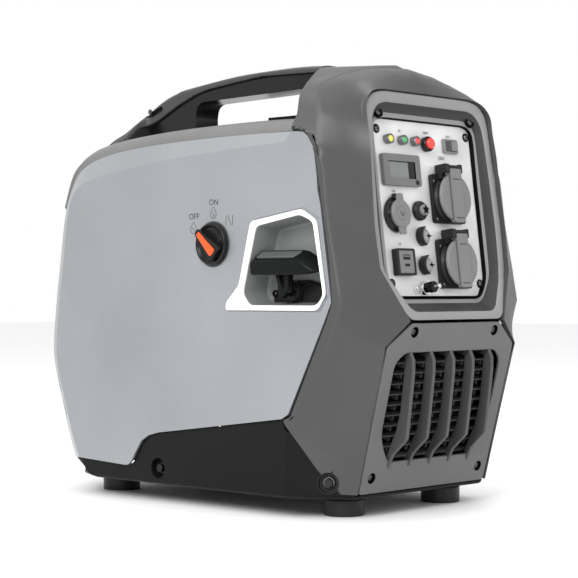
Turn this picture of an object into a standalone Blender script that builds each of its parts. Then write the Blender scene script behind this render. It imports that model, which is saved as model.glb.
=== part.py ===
"""Portable inverter generator: casing, handle, control panel, recoil starter and engine set.

Metres, +Z up. The origin is the middle of the footprint on the floor. The control panel faces -Y
and the recoil starter is on the -X side. Run with: blender --background --python part.py
"""
import math

import bmesh
import bpy
from mathutils import Matrix, Vector

# ---- driving dimensions ------------------------------------------------------------------------
HALF_WIDTH = 0.142            # middle plane to the flat face of a side shell
WALL = 0.003                  # moulded wall of the casing
GAP = 0.0004                  # gap kept between pieces that touch
TRAY_Z = 0.019                # underside of the base tray
TRAY_HALF = 0.1385            # middle plane to the tray's side wall
FOOT_X, FOOT_Y = 0.0766, 0.166
FOOT_RADIUS = 0.0205

PANEL_LEAN = math.radians(7.31)          # the control panel leans back at its top
PANEL_POINT = (0.0, -0.21275, 0.304)     # middle of the panel's front face
PANEL_HALF_X, PANEL_HALF_Z = 0.077, 0.088
GRILLE_LEAN = math.radians(14.6)         # the grille leans back at its foot
GRILLE_POINT = (0.0, -0.2485, 0.191)     # middle of the grille's top edge

SOCKET_X = 0.0275                        # 230 V sockets, on the panel
SOCKET_Z = (0.0105, -0.0558)
SOCKET_FLANGE = 0.025                    # half of the square flange
LID_RADIUS = 0.0245
LID_FRONT = 0.0170                       # closed lid's front above the panel
LID_UNDER = 0.0115                       # closed lid's underside above the panel
LID_HINGE_UP = 0.0305                    # hinge above the socket's middle
DC_POS = (-0.0550, -0.0075)
DC_RADIUS = 0.0180
BREAKER_POS = (-0.0185, -0.0027)
JACK_X = -0.0175
JACK_Z = (-0.0285, -0.0575)
USB_POS = (-0.0523, -0.0549)
METER_POS = (-0.0425, 0.037)
LAMP_X = (-0.0575, -0.0360, -0.0160)
LAMP_Z = 0.0675
RESET_POS = (0.0035, 0.066)
ECO_POS = (0.042, 0.066)
EARTH_POS = (-0.0230, -0.0804)

KNOB_Y, KNOB_Z, KNOB_RADIUS = -0.0476, 0.269, 0.0215
SHAFT_Z = 0.175                          # crankshaft height, its axis runs along Y
PULLEY_Y, PULLEY_RADIUS = -0.135, 0.0455
ROPE_RADIUS = 0.0022
CAP_X, CAP_Y, CAP_RADIUS = 0.066, 0.045, 0.030
LOCK_Y, LOCK_Z = -0.086, 0.230            # quarter-turn lock of the service cover

# recoil pocket, seen from the side as (y, z) points
POCKET = [(-0.1672, 0.2954), (-0.1840, 0.2882), (-0.1974, 0.2173), (-0.1889, 0.2078),
          (-0.0996, 0.2076), (-0.0898, 0.2191), (-0.1081, 0.2857)]
TRIM = [(-0.1694, 0.3009), (-0.1904, 0.2904), (-0.2027, 0.2178), (-0.1910, 0.2027),
        (-0.0660, 0.2022), (-0.0665, 0.2100), (-0.0846, 0.2277), (-0.1000, 0.2880),
        (-0.1036, 0.2911)]
POCKET_DEPTH = 0.034

# ---- scene -------------------------------------------------------------------------------------
for old in list(bpy.data.objects):
    bpy.data.objects.remove(old, do_unlink=True)
scene = bpy.context.scene
PARTS = bpy.data.collections.new("portable_generator")
CUTTERS = bpy.data.collections.new("cutters")
scene.collection.children.link(PARTS)
scene.collection.children.link(CUTTERS)

FINISHES = {
    "silver": ((0.36, 0.38, 0.41), 0.35, 0.8),
    "dark_plastic": ((0.07, 0.07, 0.072), 0.55, 0.0),
    "black_plastic": ((0.012, 0.012, 0.013), 0.5, 0.0),
    "grey_plastic": ((0.17, 0.17, 0.175), 0.5, 0.0),
    "bezel_grey": ((0.28, 0.28, 0.29), 0.5, 0.0),
    "panel_plate": ((0.62, 0.62, 0.63), 0.4, 0.3),
    "white_trim": ((0.85, 0.85, 0.85), 0.35, 0.0),
    "rubber": ((0.015, 0.015, 0.015), 0.8, 0.0),
    "red": ((0.6, 0.02, 0.015), 0.25, 0.0),
    "green": ((0.01, 0.35, 0.08), 0.25, 0.0),
    "amber": ((0.75, 0.6, 0.1), 0.25, 0.0),
    "steel": ((0.55, 0.55, 0.56), 0.3, 1.0),
    "aluminium": ((0.6, 0.6, 0.6), 0.45, 1.0),
    "cast_iron": ((0.12, 0.12, 0.12), 0.6, 1.0),
    "copper": ((0.55, 0.25, 0.12), 0.4, 1.0),
    "rope": ((0.02, 0.02, 0.02), 0.9, 0.0),
}
MATERIALS = {}


def material(name):
    """The named finish as a Principled material, made once."""
    if name not in MATERIALS:
        colour, roughness, metallic = FINISHES[name]
        mat = bpy.data.materials.new(name)
        mat.use_nodes = True
        shader = mat.node_tree.nodes["Principled BSDF"]
        shader.inputs["Base Color"].default_value = (*colour, 1.0)
        shader.inputs["Roughness"].default_value = roughness
        shader.inputs["Metallic"].default_value = metallic
        MATERIALS[name] = mat
    return MATERIALS[name]


def axes(origin, x_axis, y_axis):
    """A matrix whose local x and y run along the given world directions."""
    x = Vector(x_axis).normalized()
    z = x.cross(Vector(y_axis)).normalized()
    y = z.cross(x)
    turn = Matrix((x, y, z)).transposed().to_4x4()
    return Matrix.Translation(origin) @ turn


SIDE_VIEW = axes((0, 0, 0), (0, 1, 0), (0, 0, 1))         # outline (y, z), thickness along +X
PANEL = Matrix.Translation(PANEL_POINT) @ Matrix.Rotation(-PANEL_LEAN, 4, "X")
GRILLE = Matrix.Translation(GRILLE_POINT) @ Matrix.Rotation(GRILLE_LEAN, 4, "X")
FRONT_VIEW = axes((0, 0, 0), (1, 0, 0), (0, 0, 1))        # outline (x, z), thickness along -Y
ALONG_X_OUT = axes((0, 0, 0), (0, 0, 1), (0, 1, 0))       # a turned piece whose top faces -X
ALONG_Y = axes((0, 0, 0), (1, 0, 0), (0, 0, -1))          # a turned piece whose top faces +Y
OUTWARD = FRONT_VIEW                                      # a turned piece whose top faces -Y


def at(matrix, x=0.0, y=0.0, z=0.0):
    """The matrix moved by x, y, z in world axes."""
    return Matrix.Translation((x, y, z)) @ matrix


def on_panel(x, z, out=0.0):
    """A frame on the panel: local z points out of the panel, local y up along it."""
    return PANEL @ Matrix.Translation((x, -out, z)) @ OUTWARD


def add(name, mesh, finish=None, matrix=None):
    """Link a mesh as a part, or as a hidden cutter when it has no finish."""
    obj = bpy.data.objects.new(name, mesh)
    if finish is None:
        CUTTERS.objects.link(obj)
        obj.hide_render = True
        obj.display_type = "WIRE"
    else:
        PARTS.objects.link(obj)
        mesh.materials.append(material(finish))
    if matrix is not None:
        obj.matrix_world = matrix
    return obj


def bevel(obj, width, segments=1):
    """Round or chamfer the edges that turn by more than 30 degrees."""
    mod = obj.modifiers.new("bevel", "BEVEL")
    mod.width = width
    mod.segments = segments
    mod.limit_method = "ANGLE"
    mod.angle_limit = math.radians(30)
    return obj


def box(name, low, high, finish=None, matrix=None):
    """A box between two corners."""
    low, high = Vector(low), Vector(high)
    bm = bmesh.new()
    size = high - low
    turn = Matrix.Translation((low + high) / 2) @ Matrix.Diagonal((*size, 1.0))
    bmesh.ops.create_cube(bm, size=1.0, matrix=turn)
    mesh = bpy.data.meshes.new(name)
    bm.to_mesh(mesh)
    bm.free()
    return add(name, mesh, finish, matrix)


def slab(name, outline, low, high, finish=None, view=SIDE_VIEW):
    """A flat outline, filled and thickened from low to high along the view's third axis."""
    curve = bpy.data.curves.new(name, "CURVE")
    curve.dimensions = "2D"
    curve.fill_mode = "BOTH"
    curve.extrude = (high - low) / 2
    spline = curve.splines.new("POLY")
    spline.points.add(len(outline) - 1)
    for point, (u, v) in zip(spline.points, outline):
        point.co = (u, v, 0.0, 1.0)
    spline.use_cyclic_u = True
    guide = bpy.data.objects.new(name, curve)
    scene.collection.objects.link(guide)
    bpy.context.view_layer.update()
    evaluated = guide.evaluated_get(bpy.context.evaluated_depsgraph_get())
    mesh = bpy.data.meshes.new_from_object(evaluated)
    bpy.data.objects.remove(guide, do_unlink=True)
    bm = bmesh.new()
    bm.from_mesh(mesh)
    bmesh.ops.remove_doubles(bm, verts=bm.verts, dist=1e-6)
    bmesh.ops.dissolve_limit(bm, angle_limit=0.01, verts=bm.verts, edges=bm.edges)
    bmesh.ops.recalc_face_normals(bm, faces=bm.faces)
    bm.to_mesh(mesh)
    bm.free()
    mesh.materials.clear()
    return add(name, mesh, finish, view @ Matrix.Translation((0, 0, (low + high) / 2)))


def turned(name, profile, finish=None, matrix=None, steps=24):
    """A profile of (radius, height) points, down the outer side, turned about local z."""
    bm = bmesh.new()
    verts = [bm.verts.new((radius, 0.0, height)) for radius, height in profile]
    for first, second in zip(verts, verts[1:]):
        bm.edges.new((first, second))
    if profile[0][0] > 0:
        bm.edges.new((verts[-1], verts[0]))
    mesh = bpy.data.meshes.new(name)
    bm.to_mesh(mesh)
    bm.free()
    obj = add(name, mesh, finish, matrix)
    mod = obj.modifiers.new("turn", "SCREW")
    mod.steps = steps
    mod.render_steps = steps
    mod.use_merge_vertices = True
    mod.merge_threshold = 0.00002
    mod.use_smooth_shade = True
    return obj


def rod(name, radius, low, high, finish=None, matrix=None, steps=24):
    """A plain round piece between two heights."""
    profile = [(0, high), (radius, high), (radius, low), (0, low)]
    return turned(name, profile, finish, matrix, steps)


def ring(name, outer, inner, low, high, finish=None, matrix=None, steps=24):
    """A plain round sleeve."""
    profile = [(outer, high), (outer, low), (inner, low), (inner, high)]
    return turned(name, profile, finish, matrix, steps)


def boolean(target, tool, operation):
    """Cut or join with an exact Boolean."""
    mod = target.modifiers.new(operation.lower(), "BOOLEAN")
    mod.operation = operation
    mod.solver = "EXACT"
    mod.object = tool
    return target


def cut(target, *tools):
    """Take the tools' shapes out of the target."""
    for tool in tools:
        boolean(target, tool, "DIFFERENCE")
    return target


def join(target, *tools):
    """Add the tools' shapes to the target as one body."""
    for tool in tools:
        boolean(target, tool, "UNION")
    return target


def skin(name, rows, finish, thickness=WALL, mirror=False, tris=()):
    """A shell: neighbouring rows of points joined by quads, mirrored if asked, then thickened.

    A short row may end early: what it lacks is left open. tris are extra faces, each a list of
    (row, column) pairs.
    """
    bm = bmesh.new()
    grid = [[bm.verts.new(point) for point in row] for row in rows]
    for upper, lower in zip(grid, grid[1:]):
        for i in range(min(len(upper), len(lower)) - 1):
            bm.faces.new((upper[i], upper[i + 1], lower[i + 1], lower[i]))
    for corners in tris:
        bm.faces.new([grid[r][c] for r, c in corners])
    bmesh.ops.triangulate(bm, faces=bm.faces, quad_method="SHORT_EDGE")
    loose = [v for v in bm.verts if not v.link_faces]
    bmesh.ops.delete(bm, geom=loose, context="VERTS")
    bmesh.ops.recalc_face_normals(bm, faces=bm.faces)
    middle = Vector((0.0, 0.0, 0.2))
    away = sum((f.calc_center_median() - middle).dot(f.normal) * f.calc_area() for f in bm.faces)
    if away < 0:
        bmesh.ops.reverse_faces(bm, faces=bm.faces)
    mesh = bpy.data.meshes.new(name)
    bm.to_mesh(mesh)
    bm.free()
    obj = add(name, mesh, finish)
    if mirror:
        mod = obj.modifiers.new("mirror", "MIRROR")
        mod.use_clip = True
        mod.merge_threshold = 0.0001
    mod = obj.modifiers.new("wall", "SOLIDIFY")
    mod.thickness = thickness
    mod.offset = -1.0
    mod.use_even_offset = True
    mod.thickness_clamp = 1.0
    return obj


def empty(name, matrix, parent=None):
    """An empty that marks a joint axis or carries a group."""
    obj = bpy.data.objects.new(name, None)
    PARTS.objects.link(obj)
    obj.empty_display_size = 0.02
    obj.matrix_world = matrix
    if parent is not None:
        obj.parent = parent
    return obj


def hang(obj, pivot):
    """Parent a piece to its joint's empty and keep it where it is."""
    bpy.context.view_layer.update()
    obj.parent = pivot
    obj.matrix_parent_inverse = pivot.matrix_world.inverted()
    return obj


def grown(outline, by):
    """A convex outline pushed outwards by a distance."""
    count = len(outline)
    middle = Vector((sum(p[0] for p in outline) / count, sum(p[1] for p in outline) / count))
    result = []
    for i in range(count):
        before, here, after = (Vector(outline[(i + k) % count]) for k in (-1, 0, 1))
        normals = []
        for a, b in ((before, here), (here, after)):
            side = b - a
            normal = Vector((side.y, -side.x)).normalized()
            if normal.dot((a + b) / 2 - middle) < 0:
                normal = -normal
            normals.append(normal)
        half = (normals[0] + normals[1]).normalized()
        result.append(tuple(here + half * (by / max(half.dot(normals[0]), 0.3))))
    return result


# ---- casing ------------------------------------------------------------------------------------
# side shell: edge of the flat face, as (y, z), from the front of its top edge round the rear
FACE_TOP = [(-0.156, 0.3762), (-0.148, 0.3692), (-0.142, 0.3667), (-0.080, 0.364),
            (0.020, 0.358), (0.095, 0.349), (0.139, 0.343),
            (0.161, 0.336), (0.174, 0.325), (0.182, 0.303), (0.189, 0.256), (0.196, 0.211),
            (0.201, 0.162), (0.197, 0.132), (0.182, 0.088), (0.171, 0.058), (0.162, 0.040)]
# its bottom and front edge, back to the start
FACE_REST = [(0.086, 0.0385), (0.080, 0.0400), (0.0755, 0.0440), (0.0700, 0.0520),
             (0.0614, 0.0640), (0.0500, 0.0706), (0.0355, 0.0742), (-0.142, 0.097),
             (-0.151, 0.102), (-0.199, 0.194), (-0.207, 0.211), (-0.193, 0.305),
             (-0.1895, 0.318), (-0.1865, 0.333), (-0.1820, 0.350), (-0.1780, 0.366),
             (-0.1745, 0.3706), (-0.1695, 0.3748), (-0.1633, 0.3761)]
# outer edge of the bright band that runs along FACE_TOP, as (x, y, z)
BAND = [(-0.1405, -0.1575, 0.3768), (-0.1345, -0.150, 0.3772), (-0.129, -0.142, 0.3776),
        (-0.125, -0.080, 0.379), (-0.125, 0.020, 0.3775),
        (-0.125, 0.095, 0.3735), (-0.124, 0.145, 0.367), (-0.122, 0.178, 0.357),
        (-0.119, 0.198, 0.342), (-0.118, 0.214, 0.310), (-0.118, 0.223, 0.257),
        (-0.118, 0.230, 0.211), (-0.118, 0.235, 0.162), (-0.118, 0.231, 0.132),
        (-0.118, 0.216, 0.086), (-0.118, 0.205, 0.055), (-0.118, 0.196, 0.036)]


def side_shell(name, side):
    """A flat-faced side shell with its sloping band; side is -1 for left and 1 for right."""
    bm = bmesh.new()
    band = [bm.verts.new((-side * x, y, z)) for x, y, z in BAND]
    face = [bm.verts.new((side * HALF_WIDTH, y, z)) for y, z in FACE_TOP]
    rest = [bm.verts.new((side * HALF_WIDTH, y, z)) for y, z in FACE_REST]
    bm.faces.new(face + rest)
    for i in range(len(face) - 1):
        bm.faces.new((band[i], band[i + 1], face[i + 1], face[i]))
    bmesh.ops.recalc_face_normals(bm, faces=bm.faces)
    if max(bm.faces, key=lambda f: f.calc_area()).normal.x * side < 0:
        bmesh.ops.reverse_faces(bm, faces=bm.faces)
    mesh = bpy.data.meshes.new(name)
    bm.to_mesh(mesh)
    bm.free()
    obj = add(name, mesh, "silver")
    mod = obj.modifiers.new("wall", "SOLIDIFY")
    mod.thickness = WALL
    mod.offset = -1.0
    mod.use_even_offset = True
    return obj


def side_shells():
    """Left shell with the starter's opening, right shell with the service opening."""
    left = side_shell("left_side_shell", -1)
    cut(left, slab("starter_opening", grown(POCKET, 0.0030), -0.160, -0.120))
    right = side_shell("right_side_shell", 1)
    opening = [(-0.095, 0.135), (0.090, 0.135), (0.090, 0.325), (-0.095, 0.325)]
    cut(right, slab("service_opening", opening, 0.120, 0.160))


def service_cover():
    """Service cover on the right, hinged at its rear edge, with knuckles on the hinge line."""
    outline = [(-0.103, 0.135), (-0.095, 0.127), (0.097, 0.127), (0.097, 0.333), (-0.095, 0.333),
               (-0.103, 0.325)]
    cover = slab("service_cover", outline, HALF_WIDTH + GAP, HALF_WIDTH + 0.0032, "silver")
    for z in (0.160, 0.270):
        knuckle = rod("knuckle", 0.0016, 0.0, 0.030, matrix=at(Matrix(), 0.1438, 0.0978, z))
        join(cover, knuckle)
    hinge = empty("service_hinge", at(Matrix(), 0.1438, 0.0978, 0.23))
    hang(cover, hinge)
    face = HALF_WIDTH + 0.0032 + GAP
    lock_at = axes((0, LOCK_Y, LOCK_Z), (0, 1, 0), (0, 0, 1))
    lock = rod("service_cover_lock", 0.0080, face, face + 0.0010, "black_plastic", lock_at, 20)
    grip = [(-0.0070, -0.0018), (0.0070, -0.0018), (0.0070, 0.0018), (-0.0070, 0.0018)]
    join(lock, slab("lock_grip", grip, face + 0.0005, 0.1482, view=lock_at))
    hang(lock, empty("lock_axis", at(Matrix(), face, LOCK_Y, LOCK_Z), hinge))


def cut_corner_wells(obj):
    """Round well in each chamfered front corner, shared by the tray and the cowl's foot."""
    for sign in (-1, 1):
        turn = axes((sign * 0.1203, -0.1837, 0.0358), (0, 0, 1), (-0.5245, -sign * 0.8514, 0))
        cut(obj, rod("corner_well", 0.0105, -0.0072, 0.020, matrix=turn))


def base_tray():
    """Base tray: floor, side walls, chamfered front corners and a rear lip."""
    side = [(-0.2030, TRAY_Z), (0.140, TRAY_Z), (0.155, 0.026), (0.160, 0.0385), (0.0850, 0.0370),
            (0.0790, 0.0383), (0.0742, 0.0425), (0.0686, 0.0506), (0.0601, 0.0624),
            (0.0492, 0.0688), (0.0350, 0.0724), (-0.1400, 0.0945),
            (-0.1435, 0.0855), (-0.1860, 0.0500), (-0.1955, 0.0240)]
    tray = slab("base_tray", side, -TRAY_HALF, TRAY_HALF, "black_plastic")
    room = both_sides([(-0.1350, 0.3000), (-0.1350, -0.1430), (-0.0973, -0.2040)])
    cut(tray, slab("tray_room", room, TRAY_Z + 0.0035, 0.30, view=Matrix()))
    for sign in (-1, 1):
        corner = [(sign * TRAY_HALF, -0.1440), (sign * 0.1020, -0.2030), (sign * 0.1020, -0.2300),
                  (sign * 0.1600, -0.2300), (sign * 0.1600, -0.1440)]
        cut(tray, slab("tray_corner", corner, 0.0, 0.12, view=Matrix()))
    rear = [(-0.128, 0.120), (0.128, 0.120), (0.128, 0.155), (0.112, 0.188), (0.090, 0.205),
            (-0.090, 0.205), (-0.112, 0.188), (-0.128, 0.155)]
    join(tray, slab("tray_rear", rear, TRAY_Z, TRAY_Z + 0.0035, view=Matrix()))
    for side_sign in (-1, 1):
        cut(tray, rod("bolt_well", 0.0105, -0.01, 0.01,
                      matrix=at(ALONG_X_OUT, side_sign * 0.146, 0.0388, 0.0364)))
    cut_corner_wells(tray)


def feet():
    """Four rubber feet under the tray."""
    for x_sign, side in ((-1, "left"), (1, "right")):
        for y_sign, end in ((-1, "front"), (1, "rear")):
            profile = [(0, TRAY_Z - GAP), (0.0190, TRAY_Z - GAP), (FOOT_RADIUS, 0.0165),
                       (FOOT_RADIUS, 0.0022), (0.0185, 0), (0, 0)]
            turned(f"foot_{end}_{side}", profile, "rubber",
                   at(Matrix(), x_sign * FOOT_X, y_sign * FOOT_Y, 0))


def rear_cover():
    """Rear cover between the side shells, with vent slots and the exhaust's hole."""
    rows = []
    for i, (x, y, z) in enumerate(BAND[9:]):
        rise = 0.011 if i == 0 else 0.0
        rows.append([(x + 0.0030, y + 0.0020, z), (-0.102, y + 0.0120, z + 0.6 * rise),
                     (-0.082, y + 0.0155, z + rise), (0.0, y + 0.0170, z + 1.2 * rise)])
    rows.append([(-0.110, 0.1905, 0.0245), (-0.096, 0.206, 0.0245), (-0.080, 0.211, 0.0245),
                 (0.0, 0.214, 0.0245)])
    cover = skin("rear_cover", rows, "dark_plastic", mirror=True)
    for i in range(5):
        z = 0.075 + 0.013 * i
        cut(cover, box("vent", (0.030, 0.18, z), (0.085, 0.30, z + 0.006)))
    cut(cover, rod("exhaust_hole", 0.0215, 0.18, 0.30, matrix=at(ALONG_Y, -0.045, 0, 0.165)))


def top_cover():
    """Top cover between the bright bands, crowned under the handle and rolled over at the rear."""
    crest = [(-0.140, 0.394), (-0.080, 0.3955), (0.020, 0.3945), (0.095, 0.391), (0.150, 0.386),
             (0.190, 0.378), (0.213, 0.362), (0.2265, 0.323)]
    crown = [(-0.140, 0.400), (-0.080, 0.402), (0.020, 0.402), (0.095, 0.400), (0.152, 0.396),
             (0.194, 0.389), (0.220, 0.372), (0.2315, 0.326)]
    edge = [(-0.125, -0.140, 0.3785)] + BAND[3:10]
    rows = []
    for (x, y, z), (yc, zc), (ym, zm) in zip(edge, crest, crown):
        rows.append([(x + 0.0014, y, z + 0.0012), (-0.112, (y + yc) / 2, z * 0.35 + zc * 0.65),
                     (-0.090, yc, zc), (-0.040, (yc + ym) / 2, zm - 0.002), (0.0, ym, zm)])
    cover = skin("top_cover", rows, "grey_plastic", mirror=True)
    cut(cover, rod("filler_hole", CAP_RADIUS + 0.0045, 0.33, 0.43,
                   matrix=at(Matrix(), CAP_X, CAP_Y, 0)))


# cowl: bezel edge, crease and rear edge of the left half, from the top of the middle plane down
COWL = [
    [(0, -0.209, 0.4242), (0, -0.171, 0.4525), (0, -0.0845, 0.4575)],
    [(-0.040, -0.2095, 0.4237), (-0.040, -0.172, 0.450), (-0.022, -0.085, 0.4550)],
    [(-0.073, -0.210, 0.4222), (-0.062, -0.160, 0.442), (-0.050, -0.094, 0.439)],
    [(-0.0905, -0.212, 0.4165), (-0.080, -0.148, 0.431), (-0.067, -0.104, 0.431)],
    [(-0.0995, -0.2145, 0.403), (-0.098, -0.150, 0.4095), (-0.092, -0.120, 0.418)],
    [(-0.1005, -0.217, 0.385), (-0.113, -0.164, 0.394), (-0.111, -0.134, 0.397)],
    [(-0.1015, -0.221, 0.362), (-0.129, -0.178, 0.377), (-0.1268, -0.141, 0.3815)],
    [(-0.102, -0.223, 0.345), (-0.139, -0.191, 0.361), (-0.1330, -0.170, 0.3800)],
    [(-0.1035, -0.226, 0.318), (-0.142, -0.197, 0.335), (-0.1425, -0.1875, 0.3640)],
    [(-0.105, -0.230, 0.283), (-0.1425, -0.203, 0.290), (-0.1425, -0.1955, 0.3055)],
    [(-0.1035, -0.2355, 0.243), (-0.1425, -0.213, 0.243), (-0.1425, -0.2050, 0.250)],
    [(-0.0755, -0.2500, 0.1925), (-0.1425, -0.219, 0.213), (-0.1425, -0.2090, 0.211)],
    [(-0.1045, -0.2425, 0.168), (-0.1425, -0.209, 0.182), (-0.1425, -0.2010, 0.192)],
    [(-0.1040, -0.2283, 0.114), (-0.1425, -0.166, 0.111), (-0.1425, -0.1545, 0.1000)],
    [(-0.1032, -0.2123, 0.052), (-0.1415, -0.148, 0.089), (-0.1425, -0.1450, 0.0955)],
    [(-0.1026, -0.2055, 0.0245), (-0.1255, -0.175, 0.048)],
]


def front_cowl():
    """Dark cowl that wraps the front from the bezel back to the silver shells."""
    foot = [(-0.112, -0.1925, 0.0250)]
    cowl = skin("front_cowl", COWL + [foot], "dark_plastic", thickness=0.0026, mirror=True,
                tris=[((15, 0), (15, 1), (16, 0))])
    cut_corner_wells(cowl)


def loop_band(name, loops, finish):
    """A ring-shaped solid whose section joins the loops in order, the last to the first."""
    bm = bmesh.new()
    rings = [[bm.verts.new(point) for point in loop] for loop in loops]
    count = len(rings[0])
    for a, b in zip(rings, rings[1:] + rings[:1]):
        for i in range(count):
            j = (i + 1) % count
            bm.faces.new((a[i], a[j], b[j], b[i]))
    bmesh.ops.triangulate(bm, faces=bm.faces)
    bmesh.ops.recalc_face_normals(bm, faces=bm.faces)
    mesh = bpy.data.meshes.new(name)
    bm.to_mesh(mesh)
    bm.free()
    return add(name, mesh, finish)


def both_sides(half):
    """A left-to-right loop from the points of its left half, top first."""
    return half + [(-x, z) for x, z in reversed(half)]


def bezel_y(z):
    """Depth of the bezel's front at a height: straight, then kicked forward at its foot."""
    knee = 0.241
    lean = math.tan(PANEL_LEAN)
    if z >= knee:
        return -0.2117 - (0.397 - z) * lean
    return -0.2117 - (0.397 - knee) * lean - (knee - z) * 0.373


def panel_bezel():
    """Bezel ring and the sloping walls of the panel's recess."""
    outer = both_sides([(-0.069, 0.4195), (-0.085, 0.4155), (-0.0945, 0.406), (-0.0975, 0.394),
                        (-0.1008, 0.345), (-0.1035, 0.290), (-0.1022, 0.243), (-0.0745, 0.1935)])
    inner = both_sides([(-0.067, 0.407), (-0.079, 0.403), (-0.087, 0.393), (-0.0895, 0.380),
                        (-0.092, 0.345), (-0.0945, 0.285), (-0.0930, 0.240), (-0.0665, 0.2015)])
    plate = both_sides([(-0.062, 0.3915), (-0.071, 0.3900), (-0.0775, 0.3850), (-0.0790, 0.375),
                        (-0.0790, 0.345), (-0.0790, 0.285), (-0.0790, 0.232), (-0.0660, 0.2105)])
    lean = math.tan(PANEL_LEAN)
    front = [(x, bezel_y(z), z) for x, z in outer]
    lip = [(x, bezel_y(z), z) for x, z in inner]
    floor = [(x, -0.2117 - (0.397 - z) * lean + 0.0098, z) for x, z in plate]
    back = [(x * 0.945, bezel_y(z) + 0.0125, 0.305 + (z - 0.305) * 0.945) for x, z in outer]
    loop_band("panel_bezel", [front, lip, floor, back], "bezel_grey")


def intake_grille():
    """Grille plate with its opening and five upright fins that stand in front of it."""
    foot = 0.167 / math.cos(GRILLE_LEAN)
    corner = 0.0238
    outline = [(-0.0700, -0.0010), (-0.1005, -corner), (-0.0990, -foot), (0.0990, -foot),
               (0.1005, -corner), (0.0700, -0.0010)]
    hole = [(-0.073, -0.030), (-0.0845, -0.040), (-0.0835, -0.112), (-0.079, -0.122),
            (-0.066, -0.1415), (0.066, -0.1415), (0.079, -0.122), (0.0835, -0.112),
            (0.0845, -0.040), (0.073, -0.030)]
    view = GRILLE @ FRONT_VIEW
    grille = slab("intake_grille", outline, -0.003, 0.0, "bezel_grey", view)
    cut(grille, slab("grille_opening", hole, -0.02, 0.02, view=view))
    fin = [(-0.2375, 0.1675), (-0.2400, 0.1645), (-0.2445, 0.1545), (-0.2443, 0.1420),
           (-0.2418, 0.1225), (-0.2395, 0.1035), (-0.2369, 0.0845), (-0.2356, 0.0770),
           (-0.2178, 0.0608), (-0.2120, 0.0480), (-0.2000, 0.0480), (-0.2085, 0.0560),
           (-0.2150, 0.0700), (-0.2225, 0.0850), (-0.2280, 0.1050), (-0.2325, 0.1400),
           (-0.2345, 0.1620), (-0.2345, 0.1675)]
    rail = box("fin_rail", (-0.082, -0.2385, 0.1630), (0.082, -0.2325, 0.1690))
    join(grille, rail)
    join(grille, box("fin_foot", (-0.070, -0.2110, 0.0460), (0.070, -0.1860, 0.0500)))
    for i in range(5):
        x = (i - 2) * 0.0315
        join(grille, slab("fin", fin, x - 0.0022, x + 0.0022))


def intake_mesh():
    """Egg-crate mesh behind the fins: a plate with rows of windows."""
    view = GRILLE @ FRONT_VIEW
    outline = [(-0.090, -0.0240), (-0.090, -0.1420), (0.090, -0.1420), (0.090, -0.0240)]
    mesh = slab("intake_mesh", outline, -0.0140, -0.0105, "black_plastic", view)
    for row in range(10):
        low = -0.0425 - 0.0107 * row
        for column in range(4):
            x = -0.0805 + 0.0415 * column
            window = [(x, low), (x + 0.0365, low), (x + 0.0365, low + 0.0085), (x, low + 0.0085)]
            cut(mesh, slab("window", window, -0.02, 0.0, view=view))


# ---- handle ------------------------------------------------------------------------------------
HANDLE_HALF = 0.022                      # upper shell
GRASP_HALF = 0.0175                      # lower shell


def handle():
    """Carrying handle: black lower shell with its rear leg, grey upper shell over it."""
    lower = [(0.1880, 0.4065), (0.1340, 0.4305), (0.0960, 0.4440), (0.0030, 0.4530),
             (-0.0830, 0.4500), (-0.1080, 0.4440), (-0.1080, 0.4035), (-0.0870, 0.4035),
             (-0.0870, 0.4330), (-0.0830, 0.4365), (0.0980, 0.4330), (0.1050, 0.4290),
             (0.1080, 0.4200), (0.1080, 0.4030), (0.1200, 0.4025), (0.1500, 0.4005),
             (0.1650, 0.4000)]
    bottom = slab("handle_lower_shell", lower, -GRASP_HALF, GRASP_HALF, "black_plastic")
    bevel(bottom, 0.0025)
    upper = [(0.2250, 0.3760), (0.2100, 0.3900), (0.1960, 0.4070), (0.1840, 0.4230),
             (0.1670, 0.4346), (0.1518, 0.4410), (0.1368, 0.4455), (0.1220, 0.4488),
             (0.0460, 0.4580), (-0.0140, 0.4605), (-0.0530, 0.4605),
             (-0.0830, 0.4585), (-0.0830, 0.4507), (0.0030, 0.4537), (0.0962, 0.4447),
             (0.1342, 0.4312), (0.1890, 0.4070), (0.1950, 0.3930), (0.2120, 0.3840)]
    top = slab("handle_upper_shell", upper, -HANDLE_HALF, HANDLE_HALF, "grey_plastic")
    bevel(top, 0.004, 2)
    cut(top, box("handle_screw_well", (-0.008, 0.176, 0.4215), (-0.002, 0.186, 0.46)))


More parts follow.
